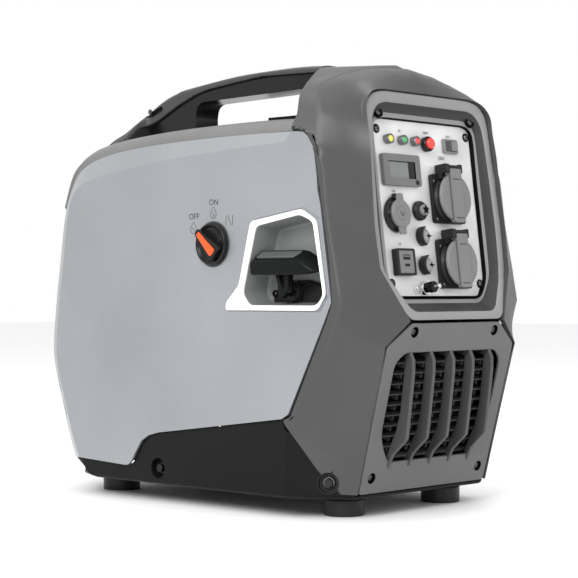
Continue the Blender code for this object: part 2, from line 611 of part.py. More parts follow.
# ---- recoil starter ----------------------------------------------------------------------------
def recoil_starter():
    """Pocket, white trim, rope guide, T-handle, rope, pulley and its housing."""
    outer = grown(POCKET, 0.0022)
    pocket = slab("recoil_pocket", outer, -0.1418, -0.1418 + POCKET_DEPTH, "dark_plastic")
    cut(pocket, slab("pocket_room", POCKET, -0.16, -0.1418 + POCKET_DEPTH - 0.0025))
    cut(pocket, rod("rope_hole", 0.0070, -0.02, 0.02,
                    matrix=at(ALONG_X_OUT, -0.110, PULLEY_Y, SHAFT_Z + PULLEY_RADIUS)))
    trim = slab("recoil_trim", TRIM, -0.1456, -HALF_WIDTH - GAP, "white_trim")
    cut(trim, slab("trim_hole", grown(POCKET, 0.0002), -0.16, -0.12))
    rope_z = SHAFT_Z + PULLEY_RADIUS
    guide_at = at(ALONG_X_OUT, 0, PULLEY_Y, rope_z)
    turned("rope_guide", [(0.0095, 0.1205), (0.0110, 0.1115), (0.0066, 0.1112), (0.0066, 0.1000),
                          (0.0031, 0.1000), (0.0031, 0.1185), (0.0042, 0.1205)],
           "black_plastic", guide_at)
    grip = [(-0.1850, 0.2440), (-0.1700, 0.2538), (-0.1560, 0.2620), (-0.1045, 0.2613),
            (-0.1012, 0.2502), (-0.1010, 0.2371), (-0.1781, 0.2385)]
    handle_body = slab("recoil_handle", grip, -0.1455, -0.1250, "black_plastic")
    bevel(handle_body, 0.003, 2)
    stem = [(-0.1500, 0.2135), (-0.1460, 0.2460), (-0.1270, 0.2460), (-0.1280, 0.2135)]
    join(handle_body, slab("stem", stem, -0.1390, -0.1275))
    rope = rod("starter_rope", ROPE_RADIUS, 0.0, 0.1270, "rope", guide_at, steps=10)
    pivot = empty("recoil_slide", at(Matrix(), -0.1275, PULLEY_Y, rope_z))
    hang(handle_body, pivot)
    hang(rope, pivot)
    pulley_at = at(ALONG_Y, 0, PULLEY_Y, SHAFT_Z)
    pulley = turned("recoil_pulley", [(0.0490, 0.0065), (0.0490, 0.0040), (0.0425, 0.0030),
                                      (0.0425, -0.0030), (0.0490, -0.0040), (0.0490, -0.0065),
                                      (0.0090, -0.0065), (0.0090, 0.0065)],
                    "black_plastic", pulley_at, steps=28)
    hang(pulley, empty("pulley_axis", pulley_at))
    housing_at = at(ALONG_Y, 0, 0, SHAFT_Z)
    housing = turned("recoil_housing", [(0.0900, -0.0580), (0.0900, -0.1495), (0.0080, -0.1495),
                                        (0.0080, -0.1220), (0.0084, -0.1220), (0.0084, -0.1465),
                                        (0.0870, -0.1465), (0.0870, -0.0580)],
                     "dark_plastic", housing_at, steps=28)
    cut(housing, box("rope_slot", (-0.110, PULLEY_Y - 0.006, rope_z - 0.006),
                     (-0.060, PULLEY_Y + 0.006, rope_z + 0.006)))


# ---- engine switch -----------------------------------------------------------------------------
def engine_switch():
    """Rotary engine switch: a disc with a raised pointer bar that rests at OFF."""
    frame = at(ALONG_X_OUT, 0, KNOB_Y, KNOB_Z)
    face = HALF_WIDTH + 0.0072
    knob = turned("engine_switch_knob", [(0, face), (0.0190, face), (KNOB_RADIUS, face - 0.002),
                                         (KNOB_RADIUS, HALF_WIDTH + GAP),
                                         (0, HALF_WIDTH + GAP)], "black_plastic", frame)
    pointer = [(-0.0200, -0.0045), (-0.0200, 0.0045), (0.0200, 0.0045), (0.0200, -0.0045)]
    turn = frame @ Matrix.Rotation(math.radians(43), 4, "Z")
    bar = slab("pointer", pointer, face - 0.003, face + 0.0050, view=turn)
    join(knob, bar)
    hang(knob, empty("switch_axis", at(ALONG_X_OUT, -HALF_WIDTH, KNOB_Y, KNOB_Z)))


# ---- control panel -----------------------------------------------------------------------------
def panel_plate():
    """The metal plate that carries the controls."""
    x, z, c = PANEL_HALF_X, PANEL_HALF_Z, 0.006
    outline = [(-x, -z + 3 * c), (-x + 2 * c, -z), (x - 2 * c, -z), (x, -z + 3 * c), (x, z - c),
               (x - c, z), (-x + c, z), (-x, z - c)]
    plate = slab("control_panel_plate", outline, -0.002, 0.0, "panel_plate", on_panel(0, 0))
    for z_mid in SOCKET_Z:
        cut(plate, rod("socket_hole", 0.0222, -0.02, 0.02, matrix=on_panel(SOCKET_X, z_mid)))
    cut(plate, rod("dc_hole", 0.0132, -0.02, 0.02, matrix=on_panel(*DC_POS)))


def mains_socket(word, z_mid):
    """230 V socket: a square flange with a round cup, and its sprung round lid."""
    here = on_panel(SOCKET_X, z_mid)
    f, c = SOCKET_FLANGE, 0.004
    square = [(-f, -f + c), (-f + c, -f), (f - c, -f), (f, -f + c), (f, f - c), (f - c, f),
              (-f + c, f), (-f, f - c)]
    base = slab(f"socket_base_{word}", square, GAP, 0.005, "black_plastic", here)
    join(base, rod("socket_body", 0.0215, -0.016, LID_UNDER - 0.0008, matrix=here))
    for x, wide in ((-0.0150, 0.0056), (0.0092, 0.0024)):
        join(base, box("lug_foot", (x, 0.0190, 0.002), (x + wide, 0.0260, 0.0100), matrix=here))
        join(base, box("lug", (x, 0.0248, 0.002), (x + wide, 0.0345, 0.0170), matrix=here))
    cut(base, rod("socket_cup", 0.0195, -0.0135, 0.03, matrix=here))
    hinge_out = 0.0145
    lid_profile = [(0, LID_FRONT - 0.002), (0.0232, LID_FRONT - 0.002),
                   (LID_RADIUS, LID_FRONT - 0.0032), (LID_RADIUS, LID_UNDER), (0, LID_UNDER)]
    lid = turned(f"socket_lid_{word}", lid_profile, "grey_plastic", here)
    band = [(-0.0085, -0.0255), (0.0085, -0.0255), (0.0085, 0.0330), (-0.0085, 0.0330)]
    join(lid, slab("lid_band", band, LID_UNDER + 0.0008, LID_FRONT, view=here))
    pivot = empty(f"lid_axis_{word}", here @ Matrix.Translation((0, LID_HINGE_UP, hinge_out)))
    hang(lid, pivot)


def dc_socket():
    """12 V socket: a round cup with a flip cap hinged at its top tab."""
    here = on_panel(*DC_POS)
    base = turned("dc_socket_base", [(0.0128, 0.0058), (0.0138, 0.0050), (0.0142, 0.0032),
                                     (DC_RADIUS - 0.0004, 0.0026), (DC_RADIUS, GAP),
                                     (0.0126, GAP), (0.0126, -0.022), (0.0100, -0.022),
                                     (0.0100, 0.0058)], "black_plastic", here)
    join(base, rod("dc_floor", 0.0110, -0.022, -0.020, matrix=here))
    join(base, box("dc_lug", (-0.0040, 0.0160, 0.0015), (0.0040, 0.0205, 0.0052), matrix=here))
    cap = turned("dc_socket_cap", [(0, 0.0092), (0.0130, 0.0092), (0.0142, 0.0080),
                                   (0.0142, 0.0062), (0, 0.0062)], "grey_plastic", here)
    tab = [(-0.0045, -0.0205), (0.0045, -0.0205), (0.0045, 0.0203), (-0.0045, 0.0203)]
    join(cap, slab("cap_tab", tab, 0.0066, 0.0087, view=here))
    hang(cap, empty("dc_cap_axis", here @ Matrix.Translation((0, 0.0190, 0.0077))))


def push_buttons():
    """Reset button in its black ring, and the round breaker button in its sleeve."""
    reset = on_panel(*RESET_POS)
    ring("reset_button_ring", 0.0078, 0.0061, GAP, 0.0065, "black_plastic", reset, 20)
    button = rod("reset_button", 0.0058, 0.0035, 0.0100, "red", reset, 20)
    hang(button, empty("reset_axis", reset))
    breaker = on_panel(*BREAKER_POS)
    turned("breaker_sleeve", [(0.0072, 0.0060), (0.0100, 0.0026), (0.0100, GAP), (0.0058, GAP),
                              (0.0058, 0.0060)], "black_plastic", breaker, 20)
    knob = rod("breaker_button", 0.0055, 0.0032, 0.0105, "black_plastic", breaker, 20)
    hang(knob, empty("breaker_axis", breaker))


def eco_switch():
    """Economy rocker in its square frame."""
    here = on_panel(*ECO_POS)
    frame = box("eco_switch_frame", (-0.0110, -0.0073, GAP), (0.0110, 0.0073, 0.0030),
                "grey_plastic", here)
    cut(frame, box("rocker_hole", (-0.0085, -0.0053, -0.01), (0.0085, 0.0053, 0.01), matrix=here))
    rocker = [(-0.0080, 0.0018), (-0.0080, 0.0034), (0.0, 0.0042), (0.0080, 0.0060),
              (0.0080, 0.0018)]
    side = here @ axes((0, 0, 0), (1, 0, 0), (0, 0, 1))
    key = slab("eco_rocker", rocker, -0.0049, 0.0049, "black_plastic", side)
    hang(key, empty("eco_axis", here @ Matrix.Translation((0, 0, 0.0020))))


def display_meter():
    """Running-data display with its small push button."""
    here = on_panel(*METER_POS)
    meter = box("display_meter", (-0.0285, -0.0158, GAP), (0.0285, 0.0158, 0.0050),
                "grey_plastic", here)
    bevel(meter, 0.0012)
    cut(meter, box("display_window", (-0.0205, -0.0075, 0.0040), (0.0205, 0.0095, 0.01),
                   matrix=here))
    spot = here @ Matrix.Translation((0.0215, -0.0118, 0))
    cut(meter, rod("key_hole", 0.0024, 0.0018, 0.01, matrix=spot, steps=12))
    key = rod("meter_button", 0.0021, 0.0035, 0.0062, "black_plastic", spot, 12)
    hang(key, empty("meter_key_axis", spot))


def small_fittings():
    """Lamps, parallel jacks, USB module and the earth terminal."""
    for word, x, finish in zip(("amber", "green", "red"), LAMP_X, ("amber", "green", "red")):
        turned(f"lamp_{word}", [(0, 0.0072), (0.0030, 0.0066), (0.0042, 0.0048), (0.0048, GAP),
                                (0, GAP)], finish, on_panel(x, LAMP_Z), 16)
    for word, z in zip(("upper", "lower"), JACK_Z):
        here = on_panel(JACK_X, z)
        jack = turned(f"parallel_jack_{word}", [(0, 0.0080), (0.0090, 0.0045), (0.0098, GAP),
                                                (0, GAP)], "black_plastic", here, 20)
        cut(jack, rod("jack_bore", 0.0022, 0.0012, 0.02,
                      matrix=here @ Matrix.Translation((0.0035, 0, 0)), steps=12))
    here = on_panel(*USB_POS)
    usb = box("usb_module", (-0.0143, -0.0133, GAP), (0.0143, 0.0133, 0.0060),
              "black_plastic", here)
    bevel(usb, 0.0012)
    earth = on_panel(*EARTH_POS)
    turned("earth_stud", [(0, 0.0220), (0.0024, 0.0220), (0.0024, 0.0055), (0.0068, 0.0055),
                          (0.0068, GAP), (0, GAP)], "steel", earth, 16)
    nut = ring("earth_nut", 0.0058, 0.0028, 0.0062, 0.0150, "steel", earth, 16)
    hang(nut, empty("earth_axis", earth))


# ---- fuel system on top ------------------------------------------------------------------------
def fuel_system():
    """Fuel tank with its neck, cap and the cap's vent lever."""
    tank = box("fuel_tank", (-0.105, -0.075, 0.285), (0.112, 0.135, 0.362), "black_plastic")
    bevel(tank, 0.010, 2)
    spot = at(Matrix(), CAP_X, CAP_Y, 0)
    join(tank, rod("neck", 0.0240, 0.350, 0.3900, matrix=spot))
    cut(tank, rod("neck_bore", 0.0195, 0.3400, 0.40, matrix=spot))
    cap = turned("fuel_cap", [(0, 0.4120), (0.0265, 0.4120), (CAP_RADIUS, 0.4090),
                              (CAP_RADIUS, 0.3905), (0, 0.3905)], "black_plastic", spot)
    hang(cap, empty("cap_axis", spot))
    lever = box("fuel_cap_vent_lever", (-0.0045, -0.0240, 0.4124), (0.0045, 0.0270, 0.4200),
                "black_plastic", spot)
    hang(lever, empty("vent_axis", spot))


# ---- engine set inside -------------------------------------------------------------------------
def engine_set():
    """Engine block, crankshaft, flywheel, stator, muffler and the small units around them."""
    block = box("engine_block", (-0.060, -0.045, 0.105), (0.045, 0.075, 0.235), "aluminium")
    join(block, box("cylinder", (0.030, -0.030, 0.130), (0.120, 0.050, 0.222)))
    for i in range(5):
        x = 0.052 + 0.012 * i
        cut(block, box("fin_gap", (x, -0.04, 0.12), (x + 0.006, -0.022, 0.24)))
    join(block, rod("spark_plug", 0.0070, 0.215, 0.250, matrix=at(Matrix(), 0.106, 0.010, 0)))
    cut(block, rod("crank_bore", 0.0122, -0.10, 0.0510, matrix=at(ALONG_Y, 0, 0, SHAFT_Z)))
    spin = empty("crank_axis", at(ALONG_Y, 0, 0, SHAFT_Z))
    shaft_at = at(ALONG_Y, 0, 0, SHAFT_Z)
    shaft = turned("crankshaft", [(0, 0.0480), (0.0118, 0.0480), (0.0118, -0.0850),
                                  (0.0080, -0.0850), (0.0080, -0.1110), (0, -0.1110)],
                   "steel", shaft_at, 20)
    hang(shaft, spin)
    wheel = turned("flywheel_rotor", [(0.0780, -0.0620), (0.0780, -0.1060), (0.0085, -0.1060),
                                      (0.0085, -0.0990), (0.0710, -0.0990), (0.0710, -0.0620)],
                   "cast_iron", shaft_at, 32)
    hang(wheel, spin)
    ring("alternator_stator", 0.0690, 0.0300, -0.0950, -0.0640, "copper", shaft_at, 28)
    muffler = box("muffler", (-0.075, 0.115, 0.090), (0.060, 0.205, 0.235), "steel")
    bevel(muffler, 0.012, 2)
    outlet_at = at(ALONG_Y, -0.045, 0, 0.165)
    ring("exhaust_outlet", 0.0190, 0.0150, 0.2056, 0.2500, "steel", outlet_at)
    box("inverter_module", (-0.095, -0.178, 0.285), (0.095, -0.148, 0.370), "aluminium")
    box("carburettor", (0.060, 0.060, 0.130), (0.092, 0.098, 0.170), "aluminium")
    box("air_filter_box", (0.064, 0.060, 0.178), (0.125, 0.150, 0.260), "black_plastic")


def main():
    """Build the casing first, then what it carries and holds."""
    base_tray()
    feet()
    side_shells()
    rear_cover()
    top_cover()
    front_cowl()
    panel_bezel()
    intake_grille()
    intake_mesh()
    handle()
    service_cover()
    recoil_starter()
    engine_switch()
    panel_plate()
    mains_socket("upper", SOCKET_Z[0])
    mains_socket("lower", SOCKET_Z[1])
    dc_socket()
    push_buttons()
    eco_switch()
    display_meter()
    small_fittings()
    fuel_system()
    engine_set()


main()
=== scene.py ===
"""Portable inverter generator: casing, handle, control panel, recoil starter and stage.

Metres, +Z up, the control panel faces -Y and the recoil starter is on the -X side.
"""
import math

import bmesh
import bpy
from mathutils import Matrix, Vector


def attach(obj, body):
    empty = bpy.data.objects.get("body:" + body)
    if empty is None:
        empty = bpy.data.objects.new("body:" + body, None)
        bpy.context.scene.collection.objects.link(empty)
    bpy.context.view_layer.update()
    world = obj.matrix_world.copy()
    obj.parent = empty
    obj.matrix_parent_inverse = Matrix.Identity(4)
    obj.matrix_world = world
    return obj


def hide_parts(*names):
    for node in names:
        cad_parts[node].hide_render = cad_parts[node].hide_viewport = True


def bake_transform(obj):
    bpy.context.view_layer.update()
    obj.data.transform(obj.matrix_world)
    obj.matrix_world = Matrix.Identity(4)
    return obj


bl_info = {
    "name": "Portable generator",
    "version": (1, 0, 0),
    "blender": (4, 5, 0),
    "location": "3D View > Sidebar > Generator",
    "description": "Builds the casing, controls and starter of a portable generator",
    "category": "Add Mesh",
}

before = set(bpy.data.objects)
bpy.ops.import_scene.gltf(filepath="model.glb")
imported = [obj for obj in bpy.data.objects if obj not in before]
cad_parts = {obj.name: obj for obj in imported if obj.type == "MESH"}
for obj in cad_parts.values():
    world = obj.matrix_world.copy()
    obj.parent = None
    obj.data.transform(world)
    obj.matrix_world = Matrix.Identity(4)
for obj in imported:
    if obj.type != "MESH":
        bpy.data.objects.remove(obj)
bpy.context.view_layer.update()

# ---- sizes shared with the frame -----------------------------------------------------------------
HALF_WIDTH = 0.142
TRAY_Z = 0.019
TRAY_HALF = 0.1385
FOOT_X, FOOT_Y, FOOT_RADIUS = 0.0766, 0.166, 0.0205
PANEL_LEAN = math.radians(7.31)
PANEL_POINT = (0.0, -0.21275, 0.304)
GRILLE_LEAN = math.radians(14.6)
GRILLE_POINT = (0.0, -0.2485, 0.191)
SOCKET_X = 0.0275
SOCKETS = {"upper": 0.0105, "lower": -0.0558}
KNOB_Y, KNOB_Z, KNOB_RADIUS = -0.0476, 0.269, 0.0215
ROPE_Y, ROPE_Z = -0.135, 0.2205
CAP_X, CAP_Y = 0.066, 0.045
LOCK_Y, LOCK_Z = -0.086, 0.230
MARK_X = -HALF_WIDTH - 0.00006
DC_SOCKET = (-0.055, -0.0075)
TRAY_BOLT_Y, TRAY_BOLT_Z = 0.0388, 0.0364
GRILLE_SCREWS = [(-0.0640, -0.0095), (0.0640, -0.0095), (-0.0850, -0.1565), (0.0850, -0.1565)]

POCKET = [(-0.1672, 0.2954), (-0.1840, 0.2882), (-0.1974, 0.2173), (-0.1889, 0.2078), (-0.0996, 0.2076),
          (-0.0898, 0.2191), (-0.1081, 0.2857)]
TRIM = [(-0.1694, 0.3009), (-0.1885, 0.2898), (-0.2004, 0.2178), (-0.1895, 0.2029), (-0.0660, 0.2024),
        (-0.0665, 0.2100), (-0.0846, 0.2277), (-0.1000, 0.2880), (-0.1036, 0.2911)]
# side shell: crease between the flat face and the bright band, from the front top to the rear foot
FACE_TOP = [(-0.156, 0.3762), (-0.148, 0.3692), (-0.142, 0.3667), (-0.080, 0.364), (0.020, 0.358),
            (0.095, 0.349), (0.139, 0.343), (0.161, 0.336), (0.174, 0.325), (0.182, 0.303),
            (0.189, 0.256), (0.196, 0.211), (0.201, 0.162), (0.197, 0.132), (0.182, 0.088),
            (0.171, 0.058), (0.162, 0.040)]
FACE_REST = [(0.0868, 0.0368), (0.0819, 0.0374), (0.0759, 0.0426), (0.0701, 0.0517),
             (0.0614, 0.0638), (0.0499, 0.0704), (0.0355, 0.0740), (-0.142, 0.097),
             (-0.151, 0.102), (-0.199, 0.194), (-0.207, 0.211), (-0.193, 0.305), (-0.1895, 0.318),
             (-0.1883, 0.333), (-0.1856, 0.352), (-0.1820, 0.366), (-0.1770, 0.3706),
             (-0.1706, 0.3748), (-0.1633, 0.3761)]
BAND = [(-0.1405, -0.1575, 0.3768), (-0.1345, -0.150, 0.3772), (-0.129, -0.142, 0.3776),
        (-0.125, -0.080, 0.379), (-0.125, 0.020, 0.3775), (-0.125, 0.095, 0.3735),
        (-0.124, 0.145, 0.367), (-0.122, 0.178, 0.357), (-0.119, 0.198, 0.342),
        (-0.118, 0.214, 0.310), (-0.118, 0.223, 0.257), (-0.118, 0.230, 0.211),
        (-0.118, 0.235, 0.162), (-0.118, 0.231, 0.132), (-0.118, 0.216, 0.086),
        (-0.118, 0.205, 0.055), (-0.118, 0.196, 0.036)]
# cowl stations of the left half: edge at the bezel, crease, edge at the silver shell
COWL = [
    [(0, -0.209, 0.4198), (0, -0.171, 0.4525), (0, -0.0845, 0.4575)],
    [(-0.040, -0.2095, 0.4197), (-0.038, -0.160, 0.4485), (-0.022, -0.085, 0.4550)],
    [(-0.073, -0.210, 0.4192), (-0.058, -0.145, 0.4409), (-0.050, -0.094, 0.439)],
    [(-0.0895, -0.212, 0.4145), (-0.076, -0.135, 0.4295), (-0.067, -0.104, 0.431)],
    [(-0.0995, -0.2145, 0.403), (-0.098, -0.150, 0.4095), (-0.092, -0.120, 0.418)],
    [(-0.1005, -0.217, 0.385), (-0.113, -0.164, 0.394), (-0.111, -0.134, 0.397)],
    [(-0.1015, -0.221, 0.362), (-0.129, -0.178, 0.377), (-0.1268, -0.141, 0.3815)],
    [(-0.102, -0.223, 0.345), (-0.139, -0.191, 0.361), (-0.1385, -0.1610, 0.3790)],
    [(-0.1028, -0.2245, 0.3315), (-0.1412, -0.194, 0.348), (-0.1422, -0.1765, 0.3730)],
    [(-0.1035, -0.226, 0.318), (-0.142, -0.197, 0.335), (-0.1425, -0.1845, 0.3640)],
    [(-0.105, -0.230, 0.283), (-0.1425, -0.203, 0.290), (-0.1425, -0.1955, 0.3055)],
    [(-0.1035, -0.2355, 0.243), (-0.1425, -0.213, 0.243), (-0.1425, -0.2050, 0.250)],
    [(-0.0755, -0.2500, 0.1925), (-0.1425, -0.219, 0.213), (-0.1425, -0.2090, 0.211)],
    [(-0.1045, -0.2425, 0.168), (-0.1425, -0.209, 0.182), (-0.1425, -0.2010, 0.192)],
    [(-0.1040, -0.2283, 0.114), (-0.1425, -0.166, 0.111), (-0.1425, -0.1545, 0.1000)],
    [(-0.1032, -0.2123, 0.052), (-0.1415, -0.148, 0.089), (-0.1425, -0.1450, 0.0955)],
    [(-0.1029, -0.2089, 0.038), (-0.1255, -0.175, 0.048), (-0.1235, -0.1735, 0.0470)],
    [(-0.1026, -0.2055, 0.0245), (-0.1120, -0.1925, 0.0250), (-0.1105, -0.1910, 0.0250)],
]
BEZEL_OUTER = [(-0.069, 0.4182), (-0.085, 0.4145), (-0.0945, 0.406), (-0.0975, 0.394),
               (-0.1008, 0.345), (-0.1035, 0.290), (-0.1022, 0.243), (-0.0745, 0.1935)]
BEZEL_INNER = [(-0.067, 0.407), (-0.079, 0.403), (-0.087, 0.393), (-0.0895, 0.380),
               (-0.092, 0.345), (-0.0945, 0.285), (-0.0930, 0.240), (-0.0665, 0.2015)]
BEZEL_PLATE = [(-0.062, 0.3915), (-0.071, 0.3900), (-0.0775, 0.3850), (-0.0790, 0.375),
               (-0.0782, 0.345), (-0.0782, 0.285), (-0.0782, 0.2345), (-0.0655, 0.2146)]


# ---- frames --------------------------------------------------------------------------------------
def axes(origin, x_axis, y_axis):
    """A matrix whose local x and y run along the given world directions."""
    x = Vector(x_axis).normalized()
    z = x.cross(Vector(y_axis)).normalized()
    turn = Matrix((x, z.cross(x), z)).transposed().to_4x4()
    return Matrix.Translation(origin) @ turn


SIDE = axes((0, 0, 0), (0, 1, 0), (0, 0, 1))         # drawn as (y, z), local z towards +X
FRONT = axes((0, 0, 0), (1, 0, 0), (0, 0, 1))        # drawn as (x, z), local z towards -Y
REAR = axes((0, 0, 0), (-1, 0, 0), (0, 0, 1))        # drawn as (-x, z), local z towards +Y
LEFT = axes((0, 0, 0), (0, -1, 0), (0, 0, 1))        # drawn as (-y, z), local z towards -X
TOP = Matrix()
PANEL = Matrix.Translation(PANEL_POINT) @ Matrix.Rotation(-PANEL_LEAN, 4, "X")
GRILLE = Matrix.Translation(GRILLE_POINT) @ Matrix.Rotation(GRILLE_LEAN, 4, "X")


def shift(x=0.0, y=0.0, z=0.0):
    """A plain move."""
    return Matrix.Translation((x, y, z))


def on_panel(x, z, out=0.0):
    """A frame on the control panel whose local z points out of it."""
    return PANEL @ shift(x, -out, z) @ FRONT


def on_grille(x, z, out=0.0):
    """A frame on the grille plate whose local z points out of it."""
    return GRILLE @ shift(x, -out, z) @ FRONT


def on_left(y, z, x=-HALF_WIDTH):
    """A frame on the left side face whose local z points out of it."""
    return shift(x, y, z) @ LEFT


ROPE_AXIS = shift(0, ROPE_Y, ROPE_Z) @ LEFT           # local z towards -X
EXHAUST_AXIS = shift(-0.045, 0, 0.165) @ REAR         # local z towards +Y


# ---- finishes ------------------------------------------------------------------------------------
FINISH = {}


class Nodes:
    """Short helpers for one material's node tree."""

    def __init__(self, name):
        self.material = bpy.data.materials.new(name)
        self.material.use_nodes = True
        self.tree = self.material.node_tree
        self.shader = self.tree.nodes["Principled BSDF"]
        self.place = self.new("ShaderNodeTexCoord").outputs["Object"]

    def new(self, kind, **values):
        """A node with its properties set."""
        node = self.tree.nodes.new(kind)
        for key, value in values.items():
            setattr(node, key, value)
        return node

    def link(self, source, target):
        """Join two sockets."""
        self.tree.links.new(source, target)

    def noise(self, scale, detail=2.0, place=None):
        """The factor of a noise texture at a scale per metre."""
        node = self.new("ShaderNodeTexNoise")
        node.inputs["Scale"].default_value = scale
        node.inputs["Detail"].default_value = detail
        self.link(place or self.place, node.inputs["Vector"])
        return node.outputs["Fac"]

    def math(self, operation, first, second=0.0):
        """A math node on sockets or numbers."""
        node = self.new("ShaderNodeMath", operation=operation)
        for socket, value in zip(node.inputs, (first, second)):
            if isinstance(value, (int, float)):
                socket.default_value = value
            else:
                self.link(value, socket)
        return node.outputs[0]

    def ramp(self, factor, stops):
        """A colour ramp; stops are (position, colour)."""
        node = self.new("ShaderNodeValToRGB")
        ramp = node.color_ramp
        while len(ramp.elements) < len(stops):
            ramp.elements.new(0.5)
        for element, (position, colour) in zip(ramp.elements, stops):
            element.position = position
            element.color = (*colour, 1.0)
        self.link(factor, node.inputs["Fac"])
        return node.outputs["Color"]

    def spread(self, factor, low, high):
        """A factor from 0.3 to 0.7 spread over low to high."""
        node = self.new("ShaderNodeMapRange")
        node.inputs["From Min"].default_value = 0.3
        node.inputs["From Max"].default_value = 0.7
        node.inputs["To Min"].default_value = low
        node.inputs["To Max"].default_value = high
        self.link(factor, node.inputs["Value"])
        return node.outputs["Result"]

    def bump(self, height, depth):
        """Relief of a given depth in metres."""
        node = self.new("ShaderNodeBump")
        node.inputs["Distance"].default_value = depth
        self.link(height, node.inputs["Height"])
        self.link(node.outputs["Normal"], self.shader.inputs["Normal"])

    def set(self, **values):
        """Constants on the shader's own sockets."""
        for key, value in values.items():
            self.shader.inputs[key.replace("_", " ").title()].default_value = value


def shade(colour, by):
    """A colour made lighter or darker."""
    return tuple(min(1.0, part * by) for part in colour)


def moulded(name, colour, rough, grain=900.0, depth=0.00012, metallic=0.0, mottle=0.05, coat=0.0,
            shine=0.5):
    """Moulded or painted surface: fine grain, faint mottling and uneven gloss."""
    n = Nodes(name)
    n.set(metallic=metallic)
    n.shader.inputs["Specular IOR Level"].default_value = shine
    if coat:
        n.set(coat_weight=coat, coat_roughness=0.12)
    tone = n.ramp(n.noise(14.0, 3.0), [(0.3, shade(colour, 1 - mottle)), (0.7, shade(colour, 1 + mottle))])
    n.link(tone, n.shader.inputs["Base Color"])
    n.link(n.spread(n.noise(45.0, 4.0), rough * 0.92, rough * 1.08), n.shader.inputs["Roughness"])
    n.bump(n.noise(grain, 2.0), depth)
    FINISH[name] = n.material
    return n


def flake_paint(name, colour):
    """Metallic paint: fine flakes that vary in tone under a thin clear coat."""
    n = Nodes(name)
    n.set(metallic=0.55)
    n.set(coat_weight=0.18, coat_roughness=0.25)
    flakes = n.new("ShaderNodeTexVoronoi")
    flakes.inputs["Scale"].default_value = 1500.0
    n.link(n.place, flakes.inputs["Vector"])
    sparkle = n.math("ADD", n.math("MULTIPLY", flakes.outputs["Color"], 0.35), n.noise(6.0, 3.0))
    tone = n.ramp(sparkle, [(0.45, shade(colour, 0.90)), (0.95, shade(colour, 1.10))])
    n.link(tone, n.shader.inputs["Base Color"])
    n.link(n.spread(n.noise(30.0, 3.0), 0.36, 0.42), n.shader.inputs["Roughness"])
    n.bump(n.noise(420.0, 2.0), 0.00003)
    FINISH[name] = n.material


def woven_print(name, light, dark):
    """Panel sheet printed with a fine diagonal weave."""
    n = Nodes(name)
    n.set(metallic=0.25)
    split = n.new("ShaderNodeSeparateXYZ")
    n.link(n.place, split.inputs[0])
    pitch = 0.0023
    up = n.math("ADD", split.outputs["X"], split.outputs["Z"])
    down = n.math("SUBTRACT", split.outputs["X"], split.outputs["Z"])
    first = n.math("SINE", n.math("MULTIPLY", down, 2 * math.pi / pitch))
    second = n.math("SINE", n.math("MULTIPLY", up, 1.1 * math.pi / pitch))
    both = n.math("ADD", n.math("MULTIPLY", first, 0.50), n.math("MULTIPLY", second, 0.12))
    factor = n.math("ADD", both, n.math("MULTIPLY", n.noise(25.0), 1.0))
    n.link(n.ramp(factor, [(0.15, dark), (0.62, light)]), n.shader.inputs["Base Color"])
    n.link(n.spread(n.noise(60.0), 0.34, 0.42), n.shader.inputs["Roughness"])
    n.bump(both, 0.00004)
    FINISH[name] = n.material


def bright_metal(name, colour, rough, stretch=(1.0, 1.0, 1.0), depth=0.00002, scale=500.0):
    """Bare or plated metal with fine stretched scratches."""
    n = Nodes(name)
    n.set(metallic=1.0)
    scale_node = n.new("ShaderNodeMapping")
    scale_node.inputs["Scale"].default_value = stretch
    n.link(n.place, scale_node.inputs["Vector"])
    lines = n.noise(scale, 4.0, scale_node.outputs[0])
    n.link(n.ramp(lines, [(0.3, shade(colour, 0.88)), (0.7, shade(colour, 1.08))]),
           n.shader.inputs["Base Color"])
    n.link(n.spread(lines, rough * 0.8, rough * 1.25), n.shader.inputs["Roughness"])
    n.bump(lines, depth)
    FINISH[name] = n.material


def lens(name, colour, painted_glow):
    """Tinted clear lens with a darker rim, a pale core where it faces the view and a faint emission; the pale
    core and the emission are painted glow.
    """
    n = Nodes(name)
    n.set(roughness=0.08)
    n.set(coat_weight=1.0, coat_roughness=0.03)
    facing = n.new("ShaderNodeLayerWeight")
    facing.inputs["Blend"].default_value = 0.45
    # Painted glow: the colour turns pale where the lens faces the view.
    painted_glow_and_spots = n.math("ADD", facing.outputs["Facing"], n.math("MULTIPLY", n.noise(500.0), 0.15))
    n.link(n.ramp(painted_glow_and_spots, [(0.05, painted_glow), (0.75, colour)]), n.shader.inputs["Base Color"])
    # Painted glow: a faint emission in the pale core colour.
    n.set(emission_color=(*painted_glow, 1.0), emission_strength=0.25)
    FINISH[name] = n.material


def braid(name, colour):
    """Braided cord: crossing strands along its length."""
    n = Nodes(name)
    n.set(roughness=0.8)
    waves = []
    for turn in (35, -35):
        wave = n.new("ShaderNodeTexWave")
        wave.inputs["Scale"].default_value = 260.0
        turned_at = n.new("ShaderNodeMapping")
        turned_at.inputs["Rotation"].default_value = (0, math.radians(turn), 0)
        n.link(n.place, turned_at.inputs["Vector"])
        n.link(turned_at.outputs[0], wave.inputs["Vector"])
        waves.append(wave.outputs["Fac"])
    strands = n.math("MULTIPLY", waves[0], waves[1])
    n.link(n.ramp(strands, [(0.1, shade(colour, 0.5)), (0.8, shade(colour, 2.2))]),
           n.shader.inputs["Base Color"])
    n.bump(strands, 0.0006)
    FINISH[name] = n.material


def windings(name, colour):
    """Enamelled copper windings."""
    n = Nodes(name)
    n.set(metallic=0.9, roughness=0.3)
    wave = n.new("ShaderNodeTexWave", bands_direction="Y")
    wave.inputs["Scale"].default_value = 350.0
    wave.inputs["Distortion"].default_value = 1.5
    n.link(n.place, wave.inputs["Vector"])
    n.link(n.ramp(wave.outputs["Fac"], [(0.1, shade(colour, 0.4)), (0.7, colour)]),
           n.shader.inputs["Base Color"])
    n.bump(wave.outputs["Fac"], 0.0005)
    FINISH[name] = n.material


